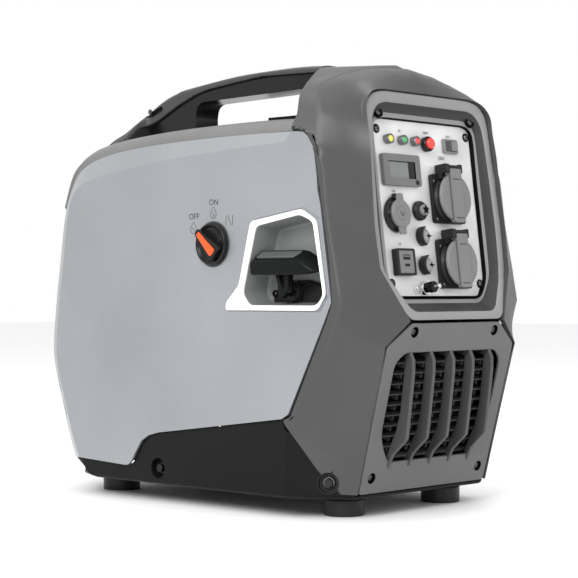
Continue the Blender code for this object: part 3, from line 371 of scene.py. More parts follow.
# ---- meshes --------------------------------------------------------------------------------------
def linked(name, data):
    """A new object in the scene."""
    obj = bpy.data.objects.new(name, data)
    bpy.context.scene.collection.objects.link(obj)
    return obj


def from_bmesh(name, bm):
    """A new object from a bmesh, which is freed."""
    mesh = bpy.data.meshes.new(name)
    bm.to_mesh(mesh)
    bm.free()
    return linked(name, mesh)


def add(name, bm):
    """Link a bmesh as a new object with outward normals and smooth faces."""
    bmesh.ops.recalc_face_normals(bm, faces=bm.faces)
    for face in bm.faces:
        face.smooth = True
    return from_bmesh(name, bm)


def rounded(points, radius, steps=3, closed=True):
    """An outline with its corners rounded; radius is one number or one for each corner."""
    result = []
    count = len(points)
    for i, here in enumerate(points):
        r = radius[i] if isinstance(radius, (list, tuple)) else radius
        if (not closed and i in (0, count - 1)) or r <= 0:
            result.append(tuple(here))
            continue
        here = Vector(here)
        before = Vector(points[(i - 1) % count])
        after = Vector(points[(i + 1) % count])
        a, b = before - here, after - here
        reach = min(r, 0.48 * a.length, 0.48 * b.length)
        start, end = here + a.normalized() * reach, here + b.normalized() * reach
        for k in range(steps + 1):
            t = k / steps
            result.append(tuple(start * (1 - t) ** 2 + here * 2 * t * (1 - t) + end * t * t))
    return result


def grown(outline, by):
    """A closed outline pushed outwards by a distance, or inwards if negative."""
    count = len(outline)
    area = sum(outline[i][0] * outline[(i + 1) % count][1] - outline[(i + 1) % count][0] * outline[i][1]
               for i in range(count))
    sign = 1.0 if area > 0 else -1.0
    result = []
    for i in range(count):
        before, here, after = (Vector(outline[(i + k) % count]) for k in (-1, 0, 1))
        normals = []
        for a, b in ((before, here), (here, after)):
            side = (b - a).normalized()
            normals.append(Vector((side.y, -side.x)) * sign)
        half = (normals[0] + normals[1]).normalized()
        result.append(tuple(here + half * (by / max(half.dot(normals[0]), 0.35))))
    return result


def flow(points, steps=4):
    """A smooth line through points of two, three or four numbers."""
    points = [Vector(p) for p in points]
    result = []
    for i in range(len(points) - 1):
        p0, p1, p2, p3 = (points[min(max(i + k, 0), len(points) - 1)] for k in (-1, 0, 1, 2))
        for k in range(steps):
            t = k / steps
            result.append(0.5 * (2 * p1 + (p2 - p0) * t + (2 * p0 - 5 * p1 + 4 * p2 - p3) * t * t
                                 + (3 * p1 - p0 - 3 * p2 + p3) * t ** 3))
    return result + [points[-1]]


def rectangle(u_low, v_low, u_high, v_high):
    """The outline of a rectangle between two corners."""
    return [(u_low, v_low), (u_high, v_low), (u_high, v_high), (u_low, v_high)]


def oblong(u, v):
    """The outline of a rectangle about the origin, from its half sides."""
    return rectangle(-u, -v, u, v)


def around(radius, degrees):
    """Points on a circle at the given degrees."""
    return [(radius * math.cos(math.radians(a)), radius * math.sin(math.radians(a))) for a in degrees]


def slab(name, outline, low, high, view=SIDE):
    """A flat outline thickened from low to high along the view's third axis."""
    bm = bmesh.new()
    under = [bm.verts.new(view @ Vector((u, v, low))) for u, v in outline]
    over = [bm.verts.new(view @ Vector((u, v, high))) for u, v in outline]
    bm.faces.new(over)
    bm.faces.new(under)
    for i in range(len(outline)):
        j = (i + 1) % len(outline)
        bm.faces.new((under[i], under[j], over[j], over[i]))
    return add(name, bm)


def block(name, low, high, view=TOP):
    """A box between two corners, drawn in the view."""
    return slab(name, rectangle(low[0], low[1], high[0], high[1]), low[2], high[2], view)


def turned(name, profile, view=TOP, steps=48, round_by=0.0, closed=False):
    """A profile of (radius, height) points turned about the view's third axis."""
    if round_by:
        profile = rounded(profile, round_by, 3, closed)
    bm = bmesh.new()
    rings = []
    for radius, height in profile:
        if radius < 1e-6:
            rings.append([bm.verts.new(view @ Vector((0, 0, height)))] * steps)
            continue
        rings.append([bm.verts.new(view @ Vector((radius * math.cos(2 * math.pi * k / steps),
                                                  radius * math.sin(2 * math.pi * k / steps), height)))
                      for k in range(steps)])
    pairs = list(zip(rings, rings[1:]))
    if closed:
        pairs.append((rings[-1], rings[0]))
    for a, b in pairs:
        for i in range(steps):
            j = (i + 1) % steps
            corners = []
            for v in (a[i], a[j], b[j], b[i]):
                if v not in corners:
                    corners.append(v)
            if len(corners) > 2:
                bm.faces.new(corners)
    return add(name, bm)


def rod(name, radius, top, foot, view=TOP, steps=48, round_by=0.0):
    """A plain round rod between two heights, mostly used to cut."""
    return turned(name, [(0, top), (radius, top), (radius, foot), (0, foot)], view, steps, round_by)


def loops(name, rings, caps=True):
    """A body through closed loops of equal length, capped at its ends or joined end to end."""
    bm = bmesh.new()
    rows = [[bm.verts.new(p) for p in ring] for ring in rings]
    count = len(rows[0])
    pairs = list(zip(rows, rows[1:]))
    if not caps:
        pairs.append((rows[-1], rows[0]))
    for a, b in pairs:
        for i in range(count):
            j = (i + 1) % count
            bm.faces.new((a[i], a[j], b[j], b[i]))
    if caps:
        bm.faces.new(rows[0])
        bm.faces.new(rows[-1])
    return add(name, bm)


def sheet_of(name, rows, thickness, mirror=False):
    """A shell through open rows of points, mirrored if asked, thickened inwards."""
    bm = bmesh.new()
    grid = [[bm.verts.new(p) for p in row] for row in rows]
    for a, b in zip(grid, grid[1:]):
        for i in range(len(a) - 1):
            bm.faces.new((a[i], a[i + 1], b[i + 1], b[i]))
    bmesh.ops.recalc_face_normals(bm, faces=bm.faces)
    middle = Vector((0.0, 0.0, 0.2))
    away = sum((f.calc_center_median() - middle).dot(f.normal) * f.calc_area() for f in bm.faces)
    if away < 0:
        bmesh.ops.reverse_faces(bm, faces=bm.faces)
    for face in bm.faces:
        face.smooth = True
    obj = from_bmesh(name, bm)
    if mirror:
        mod = obj.modifiers.new("mirror", "MIRROR")
        mod.use_clip = True
        mod.merge_threshold = 0.0001
    mod = obj.modifiers.new("wall", "SOLIDIFY")
    mod.thickness = thickness
    mod.offset = -1.0
    mod.use_even_offset = False
    return baked(obj)


def pipe(name, points, radius, view=TOP, closed=False, sides=4):
    """A round tube along a line of points drawn in the view."""
    curve = bpy.data.curves.new(name, "CURVE")
    curve.dimensions = "3D"
    curve.bevel_depth = radius
    curve.bevel_resolution = sides
    curve.use_fill_caps = True
    spline = curve.splines.new("POLY")
    spline.points.add(len(points) - 1)
    for point, place in zip(spline.points, points):
        point.co = (*(view @ Vector(place)), 1.0)
    spline.use_cyclic_u = closed
    return meshed(name, curve)


def meshed(name, curve):
    """The mesh of a curve or text."""
    guide = linked(name, curve)
    bpy.context.view_layer.update()
    mesh = bpy.data.meshes.new_from_object(guide.evaluated_get(bpy.context.evaluated_depsgraph_get()))
    bpy.data.objects.remove(guide, do_unlink=True)
    obj = linked(name, mesh)
    mesh.materials.clear()
    return obj


def baked(obj):
    """Replace a mesh by what its modifiers make of it."""
    bpy.context.view_layer.update()
    mesh = bpy.data.meshes.new_from_object(obj.evaluated_get(bpy.context.evaluated_depsgraph_get()))
    mesh.name = obj.name
    obj.modifiers.clear()
    obj.data = mesh
    return obj


def carve(obj, *tools, operation="DIFFERENCE", folded=False):
    """Cut the tools out of a piece, or join them to it, and remove the tools."""
    for tool in tools:
        mod = obj.modifiers.new("carve", "BOOLEAN")
        mod.operation = operation
        mod.solver = "EXACT"
        mod.use_self = mod.use_hole_tolerant = folded
        mod.object = tool
    baked(obj)
    for tool in tools:
        bpy.data.objects.remove(tool, do_unlink=True)
    return obj


def merge(name, *parts):
    """One object from several meshes that only touch or overlap."""
    bm = bmesh.new()
    for part in parts:
        bm.from_mesh(part.data)
    for part in parts:
        bpy.data.objects.remove(part, do_unlink=True)
    return from_bmesh(name, bm)


def soften(obj, width, segments=3, degrees=30):
    """Round the edges and keep the flat faces looking flat."""
    mod = obj.modifiers.new("round", "BEVEL")
    mod.width = width
    mod.segments = segments
    mod.limit_method = "ANGLE"
    mod.angle_limit = math.radians(degrees)
    mod.miter_outer = "MITER_ARC"
    mod = obj.modifiers.new("flat", "WEIGHTED_NORMAL")
    mod.keep_sharp = True
    obj.data.polygons.foreach_set("use_smooth", [True] * len(obj.data.polygons))
    return obj


def crisp(obj, degrees=40):
    """Keep the edges sharper than an angle sharp."""
    obj.data.set_sharp_from_angle(angle=math.radians(degrees))
    return obj


def place(obj, finish, slot, *nodes, body="root"):
    """Give a piece its finish and body, and say which frame nodes it stands for; the slot argument is not used.
    """
    obj.data.materials.clear()
    for name in [finish] if isinstance(finish, str) else finish:
        obj.data.materials.append(FINISH[name])
    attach(obj, body)
    if nodes:
        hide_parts(*nodes)
    return obj


def lettering(name, text, height, view, finish):
    """Printed letters that stand a hair above a surface."""
    curve = bpy.data.curves.new(name, "FONT")
    curve.body = text
    curve.size = height / 0.72
    curve.align_x = "CENTER"
    curve.align_y = "CENTER"
    curve.extrude = 0.00004
    curve.offset = 0.00006
    curve.resolution_u = 3
    obj = meshed(name, curve)
    obj.data.transform(view)
    return place(obj, finish, "dark_plastic")


# ---- casing --------------------------------------------------------------------------------------
def side_shell(name, side):
    """A flat face with its sloping band, both smooth along their length."""
    bm = bmesh.new()
    band = [bm.verts.new((-side * p.x, p.y, p.z)) for p in flow(BAND, 4)]
    crease = flow([(0.0, *p) for p in FACE_TOP], 4)
    face = [bm.verts.new((side * HALF_WIDTH, p.y, p.z)) for p in crease]
    rest = [bm.verts.new((side * HALF_WIDTH, y, z)) for y, z in FACE_REST]
    bm.faces.new(face + rest)
    for i in range(len(face) - 1):
        bm.faces.new((band[i], band[i + 1], face[i + 1], face[i]))
    bmesh.ops.recalc_face_normals(bm, faces=bm.faces)
    if max(bm.faces, key=lambda f: f.calc_area()).normal.x * side < 0:
        bmesh.ops.reverse_faces(bm, faces=bm.faces)
    obj = from_bmesh(name, bm)
    mod = obj.modifiers.new("wall", "SOLIDIFY")
    mod.thickness = 0.003
    mod.offset = -1.0
    mod.use_even_offset = True
    return baked(obj)


def scoop(outline, depth, slope):
    """A shallow cutter with sloping walls for the left side face."""
    outer, inner = grown(outline, slope), grown(outline, slope - 0.0022)
    far = [(-0.1500, y, z) for y, z in outer]
    rim = [(-HALF_WIDTH - 0.0002, y, z) for y, z in outer]
    floor = [(-HALF_WIDTH + depth, y, z) for y, z in inner]
    return loops("scoop", [far, rim, floor])


def side_shells(sizes):
    """Silver shells; the left one has the starter's opening, the right one the service opening."""
    left = side_shell("silver_side_left", -1)
    carve(left, scoop([(y - 0.0022, z + 0.0006) for y, z in TRIM], 0.0014, 0.0024))
    carve(left, slab("opening", grown(POCKET, 0.0026), -0.160, -0.120))
    slots = [rear_slot(z, 0.0095) for z in (0.0915, 0.118)]
    carve(left, *slots)
    place(soften(left, sizes.edge, 2, 24), "silver", "silver_paint", "left_side_shell")
    right = side_shell("silver_side_right", 1)
    carve(right, slab("opening", rectangle(-0.095, 0.135, 0.090, 0.325),
                      0.120, 0.160))
    carve(right, *[rear_slot(z, 0.0095, 1) for z in (0.0915, 0.118)])
    place(soften(right, sizes.edge, 2, 24), "silver", "silver_paint", "right_side_shell")
    for side, word in ((-1, "left"), (1, "right")):
        # Painted shade: a near-black sheet behind each vent slot stands in for the shade inside the casing.
        shade_sheet = [(side * x, y, z) for x, y, z in
                   [(-0.1365, 0.192, 0.132), (-0.1185, 0.2255, 0.132), (-0.1185, 0.2085, 0.078),
                    (-0.1365, 0.175, 0.078)]]
        inner = [(x + side * 0.001, y - 0.002, z) for x, y, z in shade_sheet]
        sheet = loops(f"slot_shade_sheet_{word}", [shade_sheet, inner])
        place(sheet, "near_black", "black_plastic")


def rear_slot(z, half, side=-1):
    """A cutter for one vent slot in a shell's rear bevel."""
    t = (z - 0.0880) / (0.132 - 0.0880)
    y = 0.199 + 0.015 * t
    turn = axes((side * 0.130, y, z), (side * -0.60, 0.80, 0.0), (0, 0.32, 0.95))
    outline = rounded(oblong(0.0040, half), 0.002)
    return slab("slot", outline, -0.012, 0.012, turn)


def service_cover(sizes):
    """Right service cover with its hinge knuckles, finger dish and quarter-turn lock."""
    outline = rounded([(-0.103, 0.135), (-0.095, 0.127), (0.0965, 0.127), (0.0965, 0.333),
                       (-0.095, 0.333), (-0.103, 0.325)], 0.006, 4)
    cover = slab("service_door", outline, 0.1424, 0.1452)
    dish = rounded(rectangle(-0.080, 0.150, 0.080, 0.310), 0.012, 5)
    carve(cover, slab("dish", dish, 0.14455, 0.150))
    soften(cover, sizes.edge, 3)
    place(cover, "silver", "silver_paint", "service_cover", body="service_cover")
    for i, z in enumerate((0.160, 0.270)):
        knuckle = turned(f"door_knuckle_{i + 1}", rectangle(0, 0.030, 0.0016, 0),
                         shift(0.1438, 0.0978, z), 24, 0.0004)
        place(knuckle, "silver", "silver_paint", body="service_cover")
    here = shift(0.1452, LOCK_Y, LOCK_Z) @ SIDE
    lock = turned("service_lock", [(0, 0.0011), (0.0068, 0.0011), (0.0080, 0.0003), (0.0080, 0.0001),
                                   (0, 0.0001)], here, 40, 0.0003)
    carve(lock, block("grip", (-0.0066, -0.0016, 0.0005), (0.0066, 0.0016, 0.0028), here), operation="UNION")
    place(soften(lock, 0.0004, 2), "black", "black_plastic", "service_cover_lock", body="service_lock")


def cowl_rows():
    """Dense rows of the cowl: turned lip, bezel edge, side facet, rounded crease and rear edge."""
    columns = []
    for c in range(3):
        line = flow([row[c] for row in COWL[:12]], 4)
        for a, b in zip(COWL[11:], COWL[12:]):
            for k in range(1, 5):
                line.append(Vector(a[c]).lerp(Vector(b[c]), k / 4))
        columns.append(line)
    rows = []
    count = len(columns[0])
    for i in range(count):
        edge, crease, rear = (column[i] for column in columns)
        reach_a = min(0.0060, 0.4 * (edge - crease).length)
        reach_b = min(0.0035, 0.4 * (rear - crease).length)
        start = crease + (edge - crease).normalized() * reach_a
        end = crease + (rear - crease).normalized() * reach_b
        arc = [start * (1 - t) ** 2 + crease * 2 * t * (1 - t) + end * t * t
               for t in (0.0, 0.2, 0.4, 0.6, 0.8, 1.0)]
        lip = edge + Vector((0.0010 if edge.x < -0.001 else 0.0, 0.0052, -0.0022 if i < 14 else 0.0))
        if i > 52:
            lip = Vector((-0.1012, edge.y + 0.0002, edge.z))
        swell = Vector((0.0, -0.0045, 0.0065)) * min(1.0, max(0.0, (20 - i) / 8))
        facet = [edge.lerp(start, t) + swell * 4 * t * (1 - t) for t in (0.2, 0.4, 0.6, 0.8)]
        hem = rear + Vector((0.0012 if rear.x < -0.005 else 0.0, 0.0, min(-0.0004, 0.383 - rear.z)))
        rows.append([lip, edge] + facet + arc + [rear, hem])
    return rows


def front_cowl():
    """Dark cowl round the front."""
    cowl = sheet_of("dark_cowl", cowl_rows(), 0.0024, mirror=True)
    carve(cowl, *corner_wells(), folded=True)
    soften(cowl, 0.0007, 2, 48)
    place(cowl, "dark", "dark_plastic", "front_cowl")


def corner_view(side):
    """A frame on a chamfered front corner, at its bolt, whose local z points out."""
    return axes((side * 0.1203, -0.1837, 0.0358), (0, 0, 1), (-0.5245, -side * 0.8514, 0))


def corner_wells():
    """Cutters for the round bolt wells of the two front corners."""
    return [rod("well", 0.0105, 0.02, -0.0078, corner_view(side), 48)
            for side in (-1, 1)]


def bezel_y(z):
    """Depth of the bezel's front at a height: straight, then kicked forward at its foot."""
    lean = math.tan(PANEL_LEAN)
    knee = 0.241
    if z >= knee:
        return -0.2117 - (0.397 - z) * lean
    return -0.2117 - (0.397 - knee) * lean - (knee - z) * 0.373


def both_sides(half):
    """A left-to-right loop from the points of its left half."""
    return half + [(-x, z) for x, z in reversed(half)]


def panel_bezel():
    """Bezel ring: rounded rim, sloping walls, ledge and gasket step round the panel; the walls take a darker
    finish as painted shade.
    """
    outer, inner, plate = (rounded(both_sides(half), 0.010, 4)
                           for half in (BEZEL_OUTER, BEZEL_INNER, BEZEL_PLATE))

    def mix(a, b, t, depth):
        pairs = [(pa[0] + (pb[0] - pa[0]) * t, pa[1] + (pb[1] - pa[1]) * t) for pa, pb in zip(a, b)]
        return [Vector((x, bezel_y(z) + depth, z)) for x, z in pairs]

    lean = math.tan(PANEL_LEAN)

    def floor(outline, depth):
        return [Vector((x, -0.2117 - (0.397 - z) * lean + depth, z)) for x, z in outline]

    back = [Vector((x * 0.945, bezel_y(z) + 0.0125, 0.305 + (z - 0.305) * 0.945)) for x, z in outer]
    foot = mix(inner, plate, 0.62, 0.0)
    ledge = floor([(p.x, p.z) for p in foot], 0.0070)
    step = floor(grown(plate, 0.0012), 0.0074)
    rings = [back, mix(outer, inner, 0.0, 0.0060), mix(outer, inner, 0.0, 0.0012),
             mix(outer, inner, 0.03, 0.0004), mix(outer, inner, 0.12, 0.0),
             mix(outer, inner, 0.88, 0.0), mix(outer, inner, 0.97, 0.0004),
             mix(outer, inner, 1.0, 0.0012),
             [a.lerp(b, 0.93) for a, b in zip(mix(outer, inner, 1.0, 0.0012), ledge)],
             ledge, step, floor(plate, 0.0097), floor(plate, 0.0112)]
    bezel = loops("bezel_ring", rings, caps=False)
    count = len(outer)
    place(bezel, ["bezel", "painted_shade_wall", "near_black"], "bezel_grey", "panel_bezel")
    # Painted shade: the sloping walls (bands 7 and 8) take a darker finish for the shade that falls in the
    # recess.
    for band, index in ((7, 1), (8, 1), (10, 2), (11, 2), (12, 2), (0, 2)):
        for face in bezel.data.polygons[band * count:(band + 1) * count]:
            face.material_index = index
    crisp(bezel, 50)


def intake_grille():
    """Grille plate with its screw wells, upright fins and cross rail."""
    foot = 0.167 / math.cos(GRILLE_LEAN)
    outline = both_sides([(-0.0705, -0.0008), (-0.1010, -0.0238), (-0.0992, -foot)])
    outline = rounded(outline, 0.004, 3)
    hole = both_sides([(-0.072, -0.030), (-0.0845, -0.041), (-0.0835, -0.110), (-0.079, -0.122),
                       (-0.0655, -0.1415)])
    plate = slab("grille_plate", outline, -0.003, 0.0, on_grille(0, 0))
    carve(plate, slab("hole", rounded(hole, 0.007, 4), -0.02, 0.02, on_grille(0, 0)),
          *[rod("well", 0.0052, 0.01, -0.01, on_grille(x, z), 32)
            for x, z in GRILLE_SCREWS])
    soften(plate, 0.0009, 3)
    place(plate, "grille", "bezel_grey", "intake_grille")
    front = [(-0.2375, 0.1675), (-0.2400, 0.1645), (-0.2445, 0.1545), (-0.2443, 0.1420), (-0.2418, 0.1225),
             (-0.2395, 0.1035), (-0.2369, 0.0845), (-0.2356, 0.0770), (-0.2178, 0.0608), (-0.2120, 0.0480)]
    back = [(-0.2000, 0.0480), (-0.2085, 0.0560), (-0.2150, 0.0700), (-0.2225, 0.0850), (-0.2280, 0.1050),
            (-0.2325, 0.1400), (-0.2345, 0.1620), (-0.2345, 0.1675)]
    for i in range(5):
        x = (i - 2) * 0.0315
        fin = slab(f"grille_fin_{i + 1}", front + back, x - 0.0022, x + 0.0022)
        place(soften(fin, 0.0012, 3), "fin", "bezel_grey")
    rail = slab("grille_rail", rectangle(-0.2390, 0.1655, -0.2330, 0.1705),
                -0.078, 0.078)
    place(soften(rail, 0.0008, 2), "near_black", "black_plastic")


def intake_mesh():
    """Egg-crate mesh: thin shelves with short upright ribs, a bright foot bar and its dark duct."""
    view = on_grille(0, 0)
    parts = []
    for row in range(11):
        v = -0.0329 - 0.0107 * row
        parts.append(block("shelf", (-0.0975, v - 0.0007, -0.0205), (0.0975, v + 0.0007, -0.0105), view))
        for column in range(-2, 4):
            x = -0.0259 + 0.0312 * column
            parts.append(block("rib", (x - 0.0006, v - 0.0056, -0.0195), (x + 0.0006, v, -0.0108), view))
    mesh = merge("egg_crate_mesh", *parts)
    place(soften(mesh, 0.0003, 1), "mesh_black", "black_plastic", "intake_mesh")
    bar = block("mesh_foot_bar", (-0.0780, -0.1420, -0.0125), (0.0780, -0.1395, -0.0095), view)
    place(soften(bar, 0.0005, 2), "fin", "bezel_grey")
    duct = slab("intake_duct", [(-0.0990, -0.0200), (-0.0990, -0.1500), (0.0990, -0.1500), (0.0990, -0.0200)],
                -0.0230, -0.0035, view)
    carve(duct, slab("bore", [(-0.0982, -0.0208), (-0.0982, -0.1492), (0.0982, -0.1492), (0.0982, -0.0208)],
                     -0.0222, 0.0, view))
    place(duct, "near_black", "black_plastic")


def base_tray():
    """Base tray with rounded lower edges and dished bolt wells."""
    side = [(-0.2030, TRAY_Z), (0.140, TRAY_Z), (0.155, 0.026), (0.1615, 0.0393), (0.0862, 0.0362),
            (0.0812, 0.0368), (0.0752, 0.0420), (0.0694, 0.0511), (0.0607, 0.0632), (0.0495, 0.0698),
            (0.0352, 0.0733), (-0.1400, 0.0960), (-0.1435, 0.0870), (-0.1860, 0.0515), (-0.1990, 0.0260)]
    tray = slab("tray", side, -TRAY_HALF, TRAY_HALF)
    corners = [slab("corner", [(s * 0.1395, -0.1424), (s * 0.1020, -0.2030), (s * 0.1020, -0.2300),
                               (s * 0.1600, -0.2300), (s * 0.1600, -0.1424)], 0.0, 0.12, TOP)
               for s in (-1, 1)]
    carve(tray, *corners)
    round_foot(tray, TRAY_Z, 0.0060)
    room = both_sides([(-0.1350, 0.3000), (-0.1350, -0.1430), (-0.0973, -0.2040)])
    carve(tray, slab("room", room, TRAY_Z + 0.0035, 0.30, TOP))
    rear = both_sides([(-0.128, 0.120), (-0.128, 0.155), (-0.112, 0.188), (-0.090, 0.205)])
    carve(tray, slab("rear", rear, TRAY_Z + 0.0002, TRAY_Z + 0.0033, TOP), operation="UNION")
    for side in (-1, 1):
        view = shift(side * TRAY_HALF, TRAY_BOLT_Y, TRAY_BOLT_Z) @ (LEFT if side < 0 else SIDE)
        cup = rod("cup", 0.0118, -0.001, -0.0090, view, 40)
        carve(tray, cup, operation="UNION")
        carve(tray, rod("well", 0.0106, 0.002, -0.0075, view, 40))
    carve(tray, *corner_wells())
    soften(tray, 0.0008, 3, 40)
    place(tray, "tray", "black_plastic", "base_tray")


def round_foot(obj, level, width):
    """Round the outer edges of a piece's underside."""
    bm = bmesh.new()
    bm.from_mesh(obj.data)
    edges = [e for e in bm.edges if all(abs(v.co.z - level) < 1e-5 for v in e.verts)
             and len(e.link_faces) == 2 and e.calc_face_angle() > 0.5]
    bmesh.ops.bevel(bm, geom=edges, offset=width, segments=5, profile=0.5, affect="EDGES")
    bm.to_mesh(obj.data)
    bm.free()


def feet():
    """Rubber feet with a rounded foot edge and a raised collar."""
    for x_sign, side in ((-1, "left"), (1, "right")):
        for y_sign, end in ((-1, "front"), (1, "rear")):
            profile = [(0, TRAY_Z), (0.0190, TRAY_Z), (0.0192, 0.0168), (FOOT_RADIUS, 0.0160),
                       (FOOT_RADIUS, 0.0), (0.0070, 0.0), (0.0060, 0.0040), (0, 0.0040)]
            foot = turned(f"rubber_foot_{end}_{side}", profile, shift(x_sign * FOOT_X, y_sign * FOOT_Y),
                          64, 0.0012)
            place(crisp(foot, 60), "rubber", "rubber", f"foot_{end}_{side}")


def rear_cover():
    """Rear cover with louvres, cooling slots and its exhaust opening."""
    band = flow(BAND[9:], 4)
    rows = []
    for i, p in enumerate(band):
        rise = 0.0125 * max(0.0, 1 - i / 4)
        rows.append([(p.x + 0.0022, p.y + 0.0012, p.z + 0.2 * rise), (-0.108, p.y + 0.0085, p.z + 0.5 * rise),
                     (-0.099, p.y + 0.0132, p.z + 0.7 * rise), (-0.082, p.y + 0.0158, p.z + rise),
                     (-0.040, p.y + 0.0168, p.z + 1.15 * rise), (0.0, p.y + 0.0170, p.z + 1.2 * rise)])
    rows.append([(-0.110, 0.1905, 0.0262), (-0.104, 0.199, 0.0250), (-0.096, 0.206, 0.0245),
                 (-0.080, 0.211, 0.0245), (-0.040, 0.213, 0.0245), (0.0, 0.214, 0.0245)])
    cover = sheet_of("back_cover", rows, 0.003, mirror=True)
    cutters = [block("slot", (0.028, 0.18, 0.072 + 0.0125 * i), (0.086, 0.30, 0.0775 + 0.0125 * i))
               for i in range(6)]
    cutters += [block("slot", (-0.080 + 0.0115 * i, 0.18, 0.232), (-0.0745 + 0.0115 * i, 0.30, 0.288))
                for i in range(14)]
    cutters.append(rod("hole", 0.0215, 0.30, 0.18, EXHAUST_AXIS, 48))
    carve(cover, *cutters)
    soften(cover, 0.0009, 2, 45)
    place(cover, "dark", "dark_plastic", "rear_cover")
    # Painted shade: a near-black sheet behind the cooling slots stands in for the shade inside the casing.
    shade_sheet = slab("rear_slot_shade_sheet", rectangle(-0.086, 0.060, 0.092, 0.295),
                   0.2075, 0.2085, REAR)
    carve(shade_sheet, rod("hole", 0.0225, 0.30, 0.18, EXHAUST_AXIS, 48))
    place(shade_sheet, "near_black", "black_plastic")


def top_cover():
    """Crowned top cover between the bright bands."""
    crest = [(-0.140, 0.394), (-0.080, 0.3955), (0.020, 0.3945), (0.095, 0.391), (0.150, 0.386),
             (0.190, 0.378), (0.213, 0.362), (0.2265, 0.323)]
    crown = [(-0.140, 0.400), (-0.080, 0.402), (0.020, 0.402), (0.095, 0.400), (0.152, 0.396),
             (0.194, 0.389), (0.220, 0.372), (0.2315, 0.326)]
    edge = flow([(-0.125, -0.140, 0.3785)] + BAND[3:10], 5)
    crest = flow([(-0.090, y, z) for y, z in crest], 5)
    crown = flow([(0.0, y, z) for y, z in crown], 5)
    rows = []
    for e, c, m in zip(edge, crest, crown):
        points = [(e.x + 0.0008, e.y, e.z - 0.0010), (e.x + 0.0016, e.y, e.z + 0.0012),
                  (-0.1160, e.y * 0.66 + c.y * 0.34, e.z * 0.55 + c.z * 0.45),
                  (-0.1070, (e.y + c.y) / 2, e.z * 0.22 + c.z * 0.78),
                  (-0.0985, e.y * 0.25 + c.y * 0.75, e.z * 0.04 + c.z * 0.96), (-0.088, c.y, c.z + 0.0004),
                  (-0.066, c.y * 0.7 + m.y * 0.3, c.z * 0.6 + m.z * 0.4), (-0.040, (c.y + m.y) / 2,
                                                                           m.z - 0.0018),
                  (-0.020, c.y * 0.2 + m.y * 0.8, m.z - 0.0005), (0.0, m.y, m.z)]
        rows.append(points)
    cover = sheet_of("crowned_top", rows, 0.003, mirror=True)
    carve(cover, rod("hole", 0.0345, 0.43, 0.33, shift(CAP_X, CAP_Y), 64))
    soften(cover, 0.0008, 2, 45)
    place(cover, "top_grey", "grey_plastic", "top_cover")


# ---- handle --------------------------------------------------------------------------------------
def handle_section(y, low, high, half, crown):
    """One rounded section of the handle across its length."""
    corner = min(0.007, 0.45 * (high - low))
    outline = [(-half, low), (half, low), (half, high - crown), (half * 0.55, high), (-half * 0.55, high),
               (-half, high - crown)]
    radii = [min(0.002, corner), min(0.002, corner), corner, 0.008, 0.008, corner]
    return [Vector((x, y, z)) for x, z in rounded(outline, radii, 4)]


def handle():
    """Grey upper shell that flares down to the top cover, over a black lower shell."""
    spine = [(0.2290, 0.3640, 0.060, 0.004), (0.2200, 0.3800, 0.064, 0.005), (0.2110, 0.3920, 0.064, 0.007),
             (0.2020, 0.4010, 0.060, 0.008), (0.1940, 0.4090, 0.050, 0.0080), (0.1870, 0.4175, 0.040, 0.0065),
             (0.1826, 0.4240, 0.032, 0.0055), (0.1778, 0.4300, 0.0255, 0.0045), (0.1669, 0.4375, 0.0215,
                                                                                 0.0035),
             (0.1518, 0.4435, 0.0215, 0.003), (0.1368, 0.4478, 0.0215, 0.003), (0.1220, 0.4508, 0.0215,
                                                                                0.003),
             (0.0460, 0.4585, 0.0215, 0.003), (-0.0140, 0.4605, 0.0215, 0.003), (-0.0530, 0.4605, 0.0215,
                                                                                 0.003),
             (-0.0850, 0.4588, 0.0215, 0.003)]
    under = [(0.2300, 0.3500), (0.2080, 0.3700), (0.1950, 0.3850), (0.1890, 0.3980), (0.1840, 0.4085),
             (0.1342, 0.4312), (0.0962, 0.4447), (0.0030, 0.4535), (-0.0900, 0.4507)]
    sections = []
    for y, z, half, crown in flow(spine, 4):
        low = under[0][1]
        for (ya, za), (yb, zb) in zip(under, under[1:]):
            if yb <= y <= ya:
                low = za + (zb - za) * (ya - y) / (ya - yb)
        sections.append(handle_section(y, min(low, z - 0.003 - crown), z, half, crown))
    shell = loops("handle_grey_shell", sections)
    outline = rounded(oblong(0.0118, 0.0032), 0.0031, 5)
    carve(shell, *[slab("slot", outline, -0.0100, 0.0080, slot_view(side)) for side in (-1, 1)])
    soften(shell, 0.0008, 2, 50)
    place(shell, "handle_grey", "grey_plastic", "handle_upper_shell")
    lower = [(0.1880, 0.4065), (0.1340, 0.4305), (0.0960, 0.4440), (0.0030, 0.4530), (-0.0900, 0.4500),
             (-0.1080, 0.4440), (-0.1080, 0.4005), (-0.0870, 0.4005), (-0.0870, 0.4330), (-0.0830, 0.4365),
             (0.0980, 0.4330), (0.1050, 0.4290), (0.1080, 0.4200), (0.1080, 0.4000), (0.1200, 0.4000),
             (0.1500, 0.3985), (0.1700, 0.3975)]
    radii = [0.004, 0.02, 0.03, 0.03] + [0.001] * 4 + [0.004, 0.004, 0.012, 0.006, 0.006] + [0.001] * 4
    body = slab("handle_black_shell", rounded(lower, radii, 5), -0.0175, 0.0175)
    soften(body, 0.0032, 4, 40)
    place(body, "gloss_black", "black_plastic", "handle_lower_shell")


def slot_view(side):
    """A frame on the flank of the handle's ramp whose local z points out."""
    return axes((side * 0.0215, 0.1700, 0.4262), (0, -side * 0.92, side * 0.39), (0, 0.39, 0.92))


